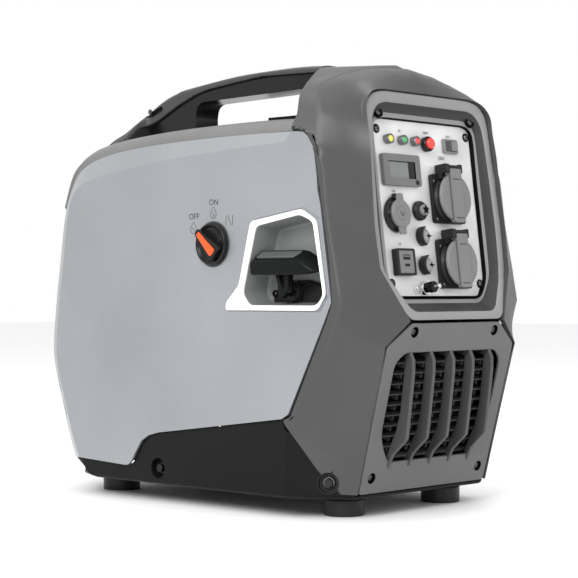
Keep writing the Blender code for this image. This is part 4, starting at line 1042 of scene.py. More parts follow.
# ---- recoil starter ------------------------------------------------------------------------------
def recoil_pocket():
    """Pocket with a coved back wall, rope guide mound and white trim."""
    wall = grown(POCKET, 0.0021)

    def ring(outline, x):
        return [Vector((x, y, z)) for y, z in rounded(outline, 0.006, 4)]

    back = -0.1418 + 0.034
    rings = [ring(wall, -0.1416), ring(wall, back), ring(POCKET, back - 0.0005), ring(POCKET, -0.1416)]
    shell = loops("starter_pocket", [rings[0], rings[1]])
    room = loops("room", [ring(POCKET, -0.150), ring(grown(POCKET, -0.0012), -0.120),
                          ring(grown(POCKET, -0.0030), -0.1120), ring(grown(POCKET, -0.0075), back - 0.0025)])
    hole = rod("hole", 0.0070, 0.13, 0.09, ROPE_AXIS, 32)
    carve(shell, room, hole)
    place(soften(shell, 0.0007, 2), "pocket", "dark_plastic", "recoil_pocket")
    mound = [(-0.1030, 0.2105), (-0.1100, 0.2250), (-0.1190, 0.2315), (-0.1530, 0.2325), (-0.1680, 0.2290),
             (-0.1780, 0.2170), (-0.1780, 0.2105)]
    plate = slab("guide_mound", rounded(mound, 0.004, 4), -0.1135, -0.1105)
    carve(plate, rod("hole", 0.0072, 0.13, 0.09, ROPE_AXIS, 32))
    place(soften(plate, 0.0010, 3), "black", "black_plastic")
    arch = [(0.0, -0.158 + 0.017 * math.cos(a), 0.2150 + 0.0135 * math.sin(a))
            for a in [math.radians(t) for t in range(-15, 196, 15)]]
    rib = pipe("guide_arch", [(-0.1145, y, z) for _, y, z in arch], 0.0012)
    place(rib, "black", "black_plastic")
    guide = turned("rope_eye", [(0.0095, 0.1205), (0.0110, 0.1150), (0.0110, 0.1115), (0.0066, 0.1112),
                                (0.0066, 0.1000), (0.0031, 0.1000), (0.0031, 0.1185), (0.0042, 0.1205)],
                   ROPE_AXIS, 48, 0.0010, True)
    place(crisp(guide, 60), "black", "black_plastic", "rope_guide")
    trim = slab("white_trim_ring", rounded(TRIM, 0.0045, 4), -0.1434, -0.1408)
    carve(trim, slab("hole", rounded(grown(POCKET, 0.0001), 0.0050, 4), -0.16, -0.12))
    place(soften(trim, 0.0008, 3), "white", "white_trim", "recoil_trim")


def recoil_grip():
    """T-grip with its sloping top inlay, curved prongs and braided rope."""
    def section(y, drop, rise, front, back=-0.1262):
        outline = [(front, 0.2375 + rise), (front - 0.0004, 0.2505 - drop), (-0.1285, 0.2622 - drop),
                   (back, 0.2600 - drop), (back, 0.2385 + rise)]
        return [Vector((x, y, z)) for x, z in rounded(outline, 0.0018, 3)]

    sections = [section(-0.1012, 0.0040, 0.0030, -0.1420), section(-0.1018, 0.0014, 0.0012, -0.1440),
                section(-0.1038, 0.0, 0.0, -0.1452), section(-0.1300, 0.0, -0.0004, -0.1455),
                section(-0.1600, 0.0, -0.0004, -0.1455), section(-0.1680, 0.0014, 0.0, -0.1448),
                section(-0.1740, 0.0045, 0.0008, -0.1430), section(-0.1800, 0.0080, 0.0022, -0.1402),
                section(-0.1845, 0.0112, 0.0040, -0.1370)]
    grip = loops("starter_grip", sections)
    bar = [(-0.1355, -0.1375, 0.2390), (-0.1350, -0.1385, 0.2310), (-0.1330, -0.1385, 0.2240),
           (-0.1290, -0.1362, 0.2205), (-0.1262, -0.1350, 0.2205)]
    prongs = []
    for side in (-1, 1):
        line = [(x, y + side * 0.0068 * (1 - i / 5.0), z) for i, (x, y, z) in enumerate(bar)]
        prongs.append(pipe("prong", flow(line, 4), 0.0026, sides=3))
    knot = turned("knot", [(0, 0.1350), (0.0050, 0.1345), (0.0062, 0.1310), (0.0058, 0.1285), (0, 0.1280)],
                  ROPE_AXIS, 32, 0.0012)
    web = slab("web", rounded([(-0.1465, 0.2400), (-0.1480, 0.2200), (-0.1300, 0.2200), (-0.1290, 0.2400)],
                              0.003, 3), -0.1338, -0.1300)
    carve(grip, *prongs, knot, web, operation="UNION")
    soften(grip, 0.0005, 2, 45)
    place(grip, "grip_black", "black_plastic", "recoil_handle", body="recoil_grip")
    slope = axes((-0.1366, -0.1345, 0.2570), (0, -1, 0), (0.0172, 0, 0.0117))
    outline = rounded([(-0.0270, -0.0052), (0.0220, -0.0052), (0.0270, 0.0052), (-0.0270, 0.0052)], 0.0012, 3)
    inlay = slab("grip_inlay", outline, -0.0004, 0.0011, slope)
    place(soften(inlay, 0.0004, 2), "inlay", "silver_paint", body="recoil_grip")
    rings = []
    for i in range(65):
        x = -0.0005 - 0.1265 * i / 64
        ring = []
        for k in range(18):
            angle = 2 * math.pi * k / 18
            lobes = 0.00012 * math.cos(3 * (angle + 170.0 * x))
            radius = 0.00205 + lobes
            ring.append((x, ROPE_Y + radius * math.cos(angle), ROPE_Z + radius * math.sin(angle)))
        rings.append(ring)
    rope = loops("pull_rope", rings)
    rope.data.materials.append(FINISH["rope"])
    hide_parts("starter_rope")
    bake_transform(rope)


# ---- engine switch -------------------------------------------------------------------------------
def engine_switch():
    """Rotary switch: lipped disc, waisted ridge and its orange pointer."""
    here = on_left(KNOB_Y, KNOB_Z)
    turn = here @ Matrix.Rotation(math.radians(137), 4, "Z")
    disc = turned("switch_disc", [(0, 0.0034), (0.0172, 0.0034), (0.0186, 0.0052), (0.0202, 0.0056),
                                  (0.0213, 0.0046), (0.0215, 0.0020), (0.0215, 0.0004), (0, 0.0004)],
                  here, 72, 0.0007)
    ridge = rounded([(0.0196, -0.0042), (0.0196, 0.0042), (0.0040, 0.0056), (-0.0080, 0.0088),
                     (-0.0165, 0.0104), (-0.0165, -0.0104), (-0.0080, -0.0088), (0.0040, -0.0056)], 0.006, 5)
    carve(disc, slab("ridge", ridge, 0.0010, 0.0108, turn), operation="UNION")
    soften(disc, 0.0009, 3, 42)
    place(disc, "gloss_black", "black_plastic", "engine_switch_knob", body="engine_switch")
    bar = rounded([(0.0160, -0.0024), (0.0160, 0.0024), (0.0040, 0.0034), (-0.0075, 0.0046),
                   (-0.0138, 0.0050), (-0.0138, -0.0044), (-0.0075, -0.0036), (0.0040, -0.0028)], 0.0035, 5)
    pointer = slab("switch_pointer", bar, 0.0100, 0.0120, turn)
    place(soften(pointer, 0.0005, 2), "orange", "black_plastic", body="engine_switch")
    for i, (offset, reach) in enumerate(((0.0118, 50), (-0.0118, 50), (0.0150, 34), (-0.0150, 34))):
        side = 1 if offset > 0 else -1
        middle = 90 * side
        arc = [(u, v, 0.0036) for u, v in around(abs(offset), range(middle - reach, middle + reach + 1, 8))]
        rib = pipe(f"switch_rib_{i + 1}", arc, 0.0005, turn, sides=2)
        place(rib, "gloss_black", "black_plastic", body="engine_switch")
    collar = turned("switch_collar", [(0.0232, 0.0006), (0.0232, 0.0), (0.0218, 0.0), (0.0218, 0.0006)],
                    here, 72, 0.0, True)
    place(collar, "dark", "dark_plastic")


def pressed_mark(name, *strokes):
    """Strokes joined into one mark and pressed flat onto the left side face."""
    mark = merge(name, *strokes)
    mark.data.transform(shift(MARK_X) @ Matrix.Diagonal((0.2, 1, 1, 1)) @ shift(-MARK_X))
    place(mark, "mark", "dark_plastic")


def switch_marks():
    """Printed OFF, ON and choke marks with their engine symbols."""
    lettering("mark_off", "OFF", 0.0062, on_left(-0.0195, 0.2975, MARK_X), "mark")
    lettering("mark_on", "ON", 0.0062, on_left(-0.0480, 0.3110, MARK_X), "mark")
    for word, y, z, running in (("off", -0.0185, 0.2860, False), ("on", -0.0475, 0.3005, True)):
        here = on_left(y, z, MARK_X)
        circle = [(0.0042 * math.cos(math.radians(a)), 0.0046 * math.sin(math.radians(a)) - 0.0010, 0)
                  for a in range(112, 429, 12)]
        neck = [(0.0016, 0.0058, 0), (-0.0016, 0.0058, 0), (-0.0016, 0.0030, 0)]
        parts = [pipe("ring", circle + [(0.0016, 0.0034, 0)] + neck, 0.00032, here, sides=1)]
        parts.append(pipe("hand", [(-0.0022, 0.0010, 0), (0.0020, -0.0036, 0)], 0.00030, here, sides=1))
        if running:
            parts.append(pipe("tick", [(-0.0016, -0.0030, 0), (0.0, -0.0040, 0), (0.0020, -0.0012, 0)],
                              0.00030, here, sides=1))
        pressed_mark(f"mark_engine_{word}", *parts)
    here = on_left(-0.0705, 0.2925, MARK_X)
    strokes = [[(-0.0046, -0.0050, 0), (-0.0046, 0.0050, 0)], [(0.0046, -0.0050, 0), (0.0046, 0.0050, 0)],
               [(-0.0022, 0.0050, 0), (0.0026, -0.0050, 0)]]
    pressed_mark("mark_choke", *[pipe("stroke", s, 0.00036, here, sides=1) for s in strokes])


# ---- control panel -------------------------------------------------------------------------------
def panel_plate():
    """Printed metal plate with the holes for what it carries."""
    x, z, c = 0.077, 0.088, 0.006
    outline = [(-x, -z + 3 * c), (-x + 2 * c, -z), (x - 2 * c, -z), (x, -z + 3 * c), (x, z - c), (x - c, z),
               (-x + c, z), (-x, z - c)]
    plate = slab("printed_plate", rounded(outline, 0.003, 3), -0.002, 0.0, on_panel(0, 0))
    drills = [rod("drill", 0.0222, 0.01, -0.01, on_panel(SOCKET_X, v), 48) for v in SOCKETS.values()]
    drills.append(rod("drill", 0.0132, 0.01, -0.01, on_panel(*DC_SOCKET), 40))
    carve(plate, *drills)
    place(soften(plate, 0.0004, 2), "woven", "panel_plate", "control_panel_plate")
    for i, (text, px, pz, size) in enumerate((("AC", -0.0355, 0.0775, 0.0026), ("RESET", 0.0060, 0.0780,
                                                                                0.0024),
                                             ("ECO", 0.0420, 0.0765, 0.0024), ("230V", 0.0275, 0.0530,
                                                                               0.0038),
                                             ("12V", -0.0545, 0.0160, 0.0026), ("5V", -0.0525, -0.0365,
                                                                                0.0028))):
        lettering(f"panel_mark_{i + 1}", text, size, on_panel(px, pz, 0.00005), "ink")
    here = on_panel(-0.0330, -0.0815)
    strokes = [[(0, 0.0026, 0), (0, 0.0, 0)], [(-0.0022, 0, 0), (0.0022, 0, 0)],
               [(-0.0014, -0.0010, 0), (0.0014, -0.0010, 0)], [(-0.0006, -0.0020, 0), (0.0006, -0.0020, 0)]]
    parts = [pipe("stroke", s, 0.00022, here, sides=1) for s in strokes]
    ring = [(u, v, 0) for u, v in around(0.0042, range(0, 360, 12))]
    parts.append(pipe("ring", ring, 0.00022, here, closed=True, sides=1))
    place(merge("mark_earth", *parts), "ink", "dark_plastic")


def mains_socket(word, v):
    """230 V socket: flange with screws, barrel, hinge lugs and its sprung lid."""
    here = on_panel(SOCKET_X, v)
    f, c = 0.025, 0.004
    square = oblong(f, f)
    base = slab(f"socket_flange_{word}", rounded(square, c, 4), 0.0004, 0.0046, here)
    barrel = turned("barrel", [(0, 0.0106), (0.0214, 0.0106), (0.0218, 0.0080), (0.0228, 0.0058), (0.0242,
                                                                                                   0.0044),
                               (0.0242, 0.0020), (0.0214, 0.0006), (0.0214, -0.0158), (0, -0.0158)], here, 64)
    joined = [barrel]
    for x, wide in ((-0.0150, 0.0056), (0.0092, 0.0024)):
        lug = rounded([(0.0195, 0.0020), (0.0342, 0.0020), (0.0342, 0.0165), (0.0250, 0.0165), (0.0250,
                                                                                                0.0100),
                       (0.0195, 0.0100)], 0.0012, 3)
        side = here @ axes((0, 0, 0), (0, 1, 0), (0, 0, 1))
        joined.append(slab("lug", lug, x, x + wide, side))
    carve(base, *joined, operation="UNION")
    carve(base, rod("cup", 0.0195, 0.03, -0.0135, here, 64))
    place(soften(base, 0.0007, 2, 35), "black", "black_plastic", f"socket_base_{word}")
    pin = pipe(f"socket_pin_{word}", [(-0.0100, 0.0312, 0.0145), (0.0100, 0.0312, 0.0145)], 0.0020, here)
    place(pin, "black", "black_plastic")
    insert = turned(f"socket_insert_{word}", [(0, -0.0120), (0.0060, -0.0120), (0.0190, -0.0120), (0.0194,
                                                                                                   -0.0132),
                                              (0, -0.0132)], here, 48)
    pins = [rod("pin", 0.0024, 0.0, -0.0129, here @ shift(x, 0, 0), 20) for x in (-0.0095, 0.0095)]
    carve(insert, *pins)
    place(crisp(insert), "near_black", "black_plastic")
    lid = turned(f"socket_cover_{word}", [(0, 0.0150), (0.0226, 0.0150), (0.0240, 0.0144), (0.0245, 0.0130),
                                          (0.0245, 0.0118), (0.0238, 0.0115), (0, 0.0115)], here, 72, 0.0004)
    strip = rounded(rectangle(-0.0085, -0.0252, 0.0085, 0.0292), 0.0015, 3)
    carve(lid, slab("strip", strip, 0.0120, 0.0170, here), operation="UNION")
    soften(lid, 0.0004, 2, 35)
    place(lid, "lid_grey", "grey_plastic", f"socket_lid_{word}", body=f"lid_{word}")
    # Painted shade: the grooves and dents are near-black strips laid on the lid, standing in for the shade in
    # them.
    grooves = [block("groove", (x - 0.00035, -0.0225, 0.01498), (x + 0.00035, 0.0225, 0.01512), here)
               for x in (-0.0092, 0.0092)]
    dents = [block("dent", (-0.0062, 0.0180, 0.01698), (0.0062, 0.0188, 0.01712), here),
             block("dent", (-0.0062, -0.0215, 0.01698), (0.0062, -0.0207, 0.01712), here)]
    place(merge(f"socket_cover_shade_lines_{word}", *grooves, *dents), "lid_line", "black_plastic",
          body=f"lid_{word}")
    for i, (x, z) in enumerate(((-0.0208, 0.0175), (0.0208, 0.0175), (-0.0208, -0.0208), (0.0208, -0.0208))):
        screw(f"socket_screw_{word}_{i + 1}", here @ shift(x, z, 0.0044), 0.0018)


def dc_socket():
    """12 V socket with its threaded collar and flip cap."""
    here = on_panel(*DC_SOCKET)
    profile = [(0.0132, 0.0060), (0.0142, 0.0052), (0.0146, 0.0036), (0.0168, 0.0030), (0.0180, 0.0022),
               (0.0180, 0.0004), (0.0126, 0.0004), (0.0126, -0.0220), (0.0100, -0.0220), (0.0100, 0.0060)]
    base = turned("dc_collar", profile, here, 64, 0.0006, True)
    floor = rod("floor", 0.0110, -0.0200, -0.0219, here, 32)
    lug = block("lug", (-0.0040, 0.0160, 0.0012), (0.0040, 0.0204, 0.0052), here)
    carve(base, floor, lug, operation="UNION")
    place(soften(base, 0.0004, 2, 45), "gloss_black", "black_plastic", "dc_socket_base")
    cap = turned("dc_flip_cap", [(0, 0.0094), (0.0062, 0.0094), (0.0066, 0.0088), (0.0072, 0.0088), (0.0076,
                                                                                                     0.0094),
                                 (0.0132, 0.0094), (0.0142, 0.0082), (0.0142, 0.0064), (0, 0.0064)], here,
                                 64, 0.0003)
    tab = rounded([(-0.0046, -0.0205), (0.0046, -0.0205), (0.0052, -0.0100), (0.0052, 0.0100), (0.0042,
                                                                                                0.0202),
                   (-0.0042, 0.0202), (-0.0052, 0.0100), (-0.0052, -0.0100)], 0.0020, 3)
    carve(cap, slab("tab", tab, 0.0067, 0.0086, here), operation="UNION")
    place(soften(cap, 0.0003, 2, 40), "lid_grey", "grey_plastic", "dc_socket_cap", body="dc_cap")
    # Painted shade: the embossed wedge is a thin near-black line standing in for the shade round it.
    wedge = [(-0.0024, 0.0020, 0.0095), (-0.0010, -0.0022, 0.0095), (0.0010, -0.0022, 0.0095), (0.0024,
                                                                                                0.0020,
                                                                                                0.0095)]
    place(pipe("dc_cap_emboss", wedge, 0.0003, here, sides=1), "lid_line", "grey_plastic", body="dc_cap")


def buttons():
    """Reset button in its ring, and the breaker with its fluted cap."""
    here = on_panel(0.0035, 0.066)
    ring = turned("reset_ring", [(0.0078, 0.0050), (0.0078, 0.0004), (0.0061, 0.0004), (0.0061, 0.0066),
                                 (0.0070, 0.0066)], here, 48, 0.0004, True)
    place(crisp(ring, 50), "gloss_black", "black_plastic", "reset_button_ring")
    cap = turned("reset_cap", [(0, 0.0100), (0.0036, 0.0098), (0.0052, 0.0090), (0.0058, 0.0078), (0.0058,
                                                                                                   0.0036),
                               (0, 0.0036)], here, 48, 0.0005)
    place(cap, "red", "red_lens", "reset_button", body="reset_key")
    here = on_panel(-0.0185, -0.0027)
    sleeve = turned("breaker_ring", [(0.0078, 0.0064), (0.0098, 0.0040), (0.0100, 0.0020), (0.0100, 0.0004),
                                     (0.0058, 0.0004), (0.0058, 0.0064)], here, 48, 0.0006, True)
    place(crisp(sleeve, 50), "black", "black_plastic", "breaker_sleeve")
    knob = turned("breaker_cap", [(0, 0.0102), (0.0046, 0.0102), (0.0055, 0.0092), (0.0055, 0.0034), (0,
                                                                                                      0.0034)],
                  here, 48, 0.0005)
    place(knob, "lid_grey", "black_plastic", "breaker_button", body="breaker_key")
    star = []
    for k in range(10):
        radius = 0.0054 if k % 2 == 0 else 0.0028
        star.append((radius * math.cos(math.radians(36 * k + 90)),
                     radius * math.sin(math.radians(36 * k + 90))))
    place(soften(slab("breaker_star", star, 0.0098, 0.0104, here), 0.0001, 1), "near_black", "black_plastic",
          body="breaker_key")


def eco_switch():
    """Economy rocker in its square frame."""
    here = on_panel(0.042, 0.066)
    rim = oblong(0.0110, 0.0073)
    case = slab("eco_frame", rounded(rim, 0.0008, 2), 0.0004, 0.0032, here)
    carve(case, block("hole", (-0.0085, -0.0053, -0.01), (0.0085, 0.0053, 0.01), here))
    place(soften(case, 0.0004, 2), "eco_grey", "grey_plastic", "eco_switch_frame")
    side = here @ axes((0, 0, 0), (1, 0, 0), (0, 0, 1))
    key = [(-0.0080, 0.0018), (-0.0080, 0.0034), (-0.0040, 0.0036), (0.0, 0.0042), (0.0040, 0.0050),
           (0.0080, 0.0060),
           (0.0080, 0.0018)]
    rocker = slab("eco_key", key, -0.0049, 0.0049, side)
    soften(rocker, 0.0004, 2)
    place(rocker, ["lid_grey", "dark"], "black_plastic", "eco_rocker", body="eco_key")
    for face in rocker.data.polygons:
        if (here.inverted() @ face.center).x < 0.0 and len(face.vertices) == 4:
            face.material_index = 1


def display_meter():
    """Display module with its recessed window and small key."""
    here = on_panel(-0.0425, 0.037)
    case = oblong(0.0285, 0.0158)
    meter = slab("display_case", rounded(case, 0.0030, 4), 0.0004, 0.0050, here)
    window = oblong(0.0205, 0.0085)
    carve(meter, slab("window", window, 0.0030, 0.01, here),
          rod("key_hole", 0.0024, 0.01, 0.0018, here @ shift(0.0215, -0.0118, 0), 24))
    place(soften(meter, 0.0011, 3), ["meter_grey", "near_black"], "grey_plastic", "display_meter")
    # Painted shade: the case's side faces take near-black for the shade they stand in within the recess.
    for face in meter.data.polygons:
        if abs(face.normal.dot(here.to_3x3() @ Vector((0, 0, 1)))) < 0.3:
            spot = here.inverted() @ face.center
            if abs(spot.x) < 0.0270 and abs(spot.y) < 0.0140:
                face.material_index = 1
    screen = block("display_screen", (-0.0203, -0.0083, 0.0031), (0.0110, 0.0083, 0.0034), here)
    place(soften(screen, 0.0001, 1), "screen", "grey_plastic")
    dark = block("display_block", (0.0110, -0.0083, 0.0031), (0.0203, 0.0083, 0.0040), here)
    place(soften(dark, 0.0002, 1), "gloss_black", "black_plastic")
    key = turned("display_key", [(0, 0.0062), (0.0017, 0.0062), (0.0021, 0.0057), (0.0021, 0.0036), (0,
                                                                                                     0.0036)],
                 here @ shift(0.0215, -0.0118, 0), 28, 0.0003)
    place(key, "black", "black_plastic", "meter_button", body="meter_key")


def lamps():
    """Amber, green and red lamps in plated cups."""
    for word, x in (("amber", -0.0575), ("green", -0.0360), ("red", -0.0160)):
        here = on_panel(x, 0.0675)
        cup = turned(f"lamp_cup_{word}", [(0.0047, 0.0070), (0.0051, 0.0064), (0.0051, 0.0004), (0.0036,
                                                                                                 0.0004),
                                          (0.0036, 0.0070)], here, 40, 0.0003, True)
        place(crisp(cup, 50), "lamp_metal", "steel")
        glass = turned(f"lamp_glass_{word}", [(0, 0.0080), (0.0022, 0.0077), (0.0033, 0.0068), (0.0035,
                                                                                                0.0050),
                                              (0.0035, 0.0006), (0, 0.0006)], here, 40)
        place(glass, f"{word}_glass", f"{word}_lens", f"lamp_{word}")


def jacks_and_usb():
    """Parallel jacks with their hoods, and the USB charging module."""
    for word, z in (("upper", -0.0285), ("lower", -0.0575)):
        here = on_panel(-0.0175, z)
        jack = turned(f"jack_{word}", [(0, 0.0076), (0.0060, 0.0066), (0.0086, 0.0040), (0.0094, 0.0016),
                                       (0.0096, 0.0004), (0, 0.0004)], here, 56, 0.0010)
        carve(jack, rod("bore", 0.0022, 0.02, 0.0012, here @ shift(0.0035, 0, 0), 24))
        place(soften(jack, 0.0003, 2, 50), "jack_white", "black_plastic", f"parallel_jack_{word}")
        hood = around(0.0100, range(100, 261, 10))
        for a in range(250, 109, -10):
            hood.append((0.0078 * math.cos(math.radians(a)) + 0.0006, 0.0088 * math.sin(math.radians(a))))
        cap = slab(f"jack_hood_{word}", hood, 0.0006, 0.0090, here)
        place(soften(cap, 0.0006, 3), "black", "black_plastic")
        slot = block(f"jack_slot_{word}", (-0.0006, -0.0006, 0.0050), (0.0072, 0.0006, 0.0079), here)
        place(soften(slot, 0.0003, 2), "near_black", "black_plastic")
    here = on_panel(-0.0523, -0.0549)
    case = oblong(0.0143, 0.0133)
    box = slab("usb_case", rounded(case, 0.0022, 4), 0.0004, 0.0066, here)
    inner = rectangle(-0.0104, -0.0112, 0.0112, 0.0112)
    carve(box, slab("face", rounded(inner, 0.0010, 3), 0.0058, 0.01, here))
    place(soften(box, 0.0008, 3), "black", "black_plastic", "usb_module")
    face = slab("usb_face", rounded(grown(inner, -0.0001), 0.0010, 3), 0.0056, 0.0064, here)
    port = rectangle(-0.0045, 0.0020, 0.0068, 0.0072)
    port_c = rounded(rectangle(-0.0026, -0.0046, 0.0054, -0.0018), 0.0013, 4)
    carve(face, slab("port", rounded(port, 0.0004, 2), 0.0040, 0.0100, here),
          slab("port_c", port_c, 0.0040, 0.0100, here))
    place(soften(face, 0.0002, 2), "usb_grey", "grey_plastic")
    tongue = block("usb_tongue", (-0.0038, 0.0050, 0.0058), (0.0061, 0.0062, 0.0063), here)
    place(soften(tongue, 0.0001, 1), "lid_grey", "grey_plastic")
    tongue = block("usb_tongue_c", (-0.0014, -0.0035, 0.0058), (0.0042, -0.0029, 0.0063), here)
    place(soften(tongue, 0.0001, 1), "black", "black_plastic")


def earth_terminal():
    """Earth stud with its hexagon nut, washers and plated clamping screw."""
    here = on_panel(-0.0230, -0.0804)
    stud = turned("earth_post", [(0, 0.0220), (0.0019, 0.0220), (0.0024, 0.0214), (0.0024, 0.0055), (0.0066,
                                                                                                     0.0055),
                                 (0.0068, 0.0050), (0.0068, 0.0004), (0, 0.0004)], here, 40, 0.0003)
    place(crisp(stud, 40), "chrome", "steel", "earth_stud")
    hexagon = around(0.0058, range(0, 360, 60))
    nut = slab("earth_hexagon", hexagon, 0.0062, 0.0096, here)
    knurl = []
    for k in range(48):
        radius = 0.0056 if k % 2 else 0.0052
        knurl.append((radius * math.cos(2 * math.pi * k / 48), radius * math.sin(2 * math.pi * k / 48)))
    carve(nut, slab("knurl", knurl, 0.0094, 0.0150, here), operation="UNION")
    carve(nut, rod("bore", 0.0028, 0.02, 0.0, here, 32))
    place(soften(nut, 0.0003, 1, 40), "black_metal", "steel", "earth_nut", body="earth_nut")


# ---- screws --------------------------------------------------------------------------------------
SCREW = {}


def screw(name, view, radius, finish="screw_metal"):
    """Pan-head screw with a cross recess; its head stands on the view's origin."""
    if "head" not in SCREW:
        head = turned("screw_head", [(0, 0.62), (0.45, 0.56), (0.80, 0.36), (1.0, 0.10), (1.0, -0.30), (0,
                                                                                                        -0.30)],
                      TOP, 32, 0.10)
        carve(head, block("slot", (-0.56, -0.12, 0.10), (0.56, 0.12, 1.0)),
              block("slot", (-0.12, -0.56, 0.10), (0.12, 0.56, 1.0)))
        crisp(head, 35)
        SCREW["head"] = head.data
        bpy.data.objects.remove(head, do_unlink=True)
    mesh = SCREW["head"].copy()
    mesh.transform(view @ Matrix.Rotation(math.radians(20), 4, "Z") @ Matrix.Scale(radius, 4))
    obj = linked(name, mesh)
    return place(obj, finish, "steel")


def hex_bolt(name, view):
    """Flanged hexagon bolt."""
    flange = turned(name, [(0, 0.0012), (0.0060, 0.0012), (0.0066, 0.0004), (0.0066, -0.0006), (0, -0.0006)],
                    view, 40, 0.0003)
    hexagon = around(0.0046, range(0, 360, 60))
    carve(flange, slab("head", hexagon, 0.0006, 0.0052, view), operation="UNION")
    return place(soften(flange, 0.0005, 2, 35), "black_metal", "steel")


def screws():
    """Screws of the panel, the recess corners, the grille and the handle, and the tray's bolts."""
    for i, (x, z) in enumerate(((-0.0715, 0.0775), (0.0715, 0.0775), (-0.0705, -0.0755), (0.0705, -0.0755))):
        spot = on_panel(x, z, 0.0002)
        cup = turned(f"panel_washer_{i + 1}", [(0.0044, 0.0008), (0.0046, 0.0), (0.0030, 0.0), (0.0030,
                                                                                                0.0008)],
                     spot, 32, 0.0, True)
        place(crisp(cup), "near_black", "black_plastic")
        screw(f"panel_screw_{i + 1}", spot @ shift(0, 0, 0.0006), 0.0033)
    for i, x in enumerate((-0.0735, 0.0735)):
        spot = shift(x, -0.2068, 0.3965) @ Matrix.Rotation(math.radians(-24), 4, "X") @ FRONT
        cup = turned(f"recess_cup_{i + 1}", [(0.0056, 0.0016), (0.0056, -0.0020), (0.0038, -0.0020),
                                             (0.0038, 0.0010)],
                     spot, 36, 0.0, True)
        place(crisp(cup), "near_black", "black_plastic")
        screw(f"recess_screw_{i + 1}", spot, 0.0034)
    for i, (x, z) in enumerate(GRILLE_SCREWS):
        spot = on_grille(x, z)
        cup = turned(f"grille_cup_{i + 1}", [(0, -0.0034), (0.0051, -0.0034), (0.0051, -0.0002), (0.0058,
                                                                                                  -0.0002),
                                             (0.0058, -0.0048), (0, -0.0048)], spot, 36)
        place(crisp(cup), "near_black", "black_plastic")
        screw(f"grille_screw_{i + 1}", spot @ shift(0, 0, -0.0030), 0.0036)
    for side, word in ((-1, "left"), (1, "right")):
        screw(f"handle_screw_{word}", slot_view(side) @ shift(0, 0, -0.0085), 0.0030)
    for side, word, view in ((-1, "left", LEFT), (1, "right", SIDE)):
        hex_bolt(f"tray_bolt_{word}", shift(side * (TRAY_HALF - 0.0070), TRAY_BOLT_Y, TRAY_BOLT_Z) @ view)
        cup = turned(f"corner_cup_{word}", [(0, -0.0070), (0.0103, -0.0070), (0.0103, -0.0022), (0.0112,
                                                                                                 -0.0022),
                                            (0.0112, -0.0080), (0, -0.0080)], corner_view(side), 48)
        place(crisp(cup), "black", "black_plastic")
        hex_bolt(f"corner_bolt_{word}", corner_view(side) @ shift(0, 0, -0.0064))
    for i, (x, z) in enumerate(((-0.086, 0.050), (0.086, 0.050), (-0.090, 0.300), (0.090, 0.300))):
        y = 0.2155 if z < 0.1 else 0.2318
        screw(f"rear_screw_{i + 1}", shift(x, y, z) @ REAR, 0.0042)
    screw("pocket_screw", shift(-0.1140, -0.1075, 0.2190) @ LEFT, 0.0038, "black_metal")


# ---- fuel cap and the set inside -----------------------------------------------------------------
def fuel_cap():
    """Ribbed fuel cap with its vent lever."""
    here = shift(CAP_X, CAP_Y)
    cap = turned("ribbed_cap", [(0, 0.4120), (0.0262, 0.4120), (0.0285, 0.4108), (0.0290, 0.4090), (0.0290,
                                                                                                    0.3905),
                                (0, 0.3905)], here, 96, 0.0010)
    ribs = []
    for k in range(24):
        angle = 2 * math.pi * k / 24
        ribs.append(block("rib", (0.0275, -0.0014, 0.3915), (0.0300, 0.0014, 0.4085),
                          here @ Matrix.Rotation(angle, 4, "Z")))
    carve(cap, *ribs, operation="UNION")
    place(soften(cap, 0.0005, 2, 40), "gloss_black", "black_plastic", "fuel_cap", body="fuel_cap")
    bar = rounded([(-0.0045, -0.0240), (0.0045, -0.0240), (0.0040, 0.0), (0.0045, 0.0270), (-0.0045, 0.0270),
                   (-0.0040, 0.0)], 0.0020, 4)
    lever = slab("vent_lever", bar, 0.4124, 0.4196, here)
    place(soften(lever, 0.0010, 3), "black", "black_plastic", "fuel_cap_vent_lever", body="vent_lever")


def exhaust():
    """Exhaust outlet with its rolled lip and spark screen."""
    here = EXHAUST_AXIS
    pipe_body = turned("exhaust_tube", [(0.0190, 0.2500), (0.0190, 0.2056), (0.0152, 0.2056), (0.0152,
                                                                                               0.2505)],
                       here, 64, 0.0012, True)
    place(crisp(pipe_body, 60), "burnt_steel", "steel", "exhaust_outlet")
    parts = []
    for k in range(-4, 5):
        offset = 0.0032 * k
        reach = math.sqrt(0.0151 ** 2 - offset ** 2)
        parts.append(pipe("wire", [(-reach, offset, 0.2080), (reach, offset, 0.2080)], 0.0004, here, sides=1))
        parts.append(pipe("wire", [(offset, -reach, 0.2083), (offset, reach, 0.2083)], 0.0004, here, sides=1))
    place(merge("spark_screen", *parts), "burnt_steel", "steel")


def inside_finishes():
    """Finishes of the frame's own pieces that stay in view behind the service cover."""
    wanted = {"fuel_tank": "tank_black", "engine_block": "cast_alloy", "crankshaft": "steel",
              "flywheel_rotor": "iron", "alternator_stator": "winding", "recoil_housing": "dark",
              "recoil_pulley": "black", "muffler": "burnt_steel", "inverter_module": "cast_alloy",
              "carburettor": "cast_alloy", "air_filter_box": "black"}
    for node, finish in wanted.items():
        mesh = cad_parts[node].data
        mesh.materials.clear()
        mesh.materials.append(FINISH[finish])


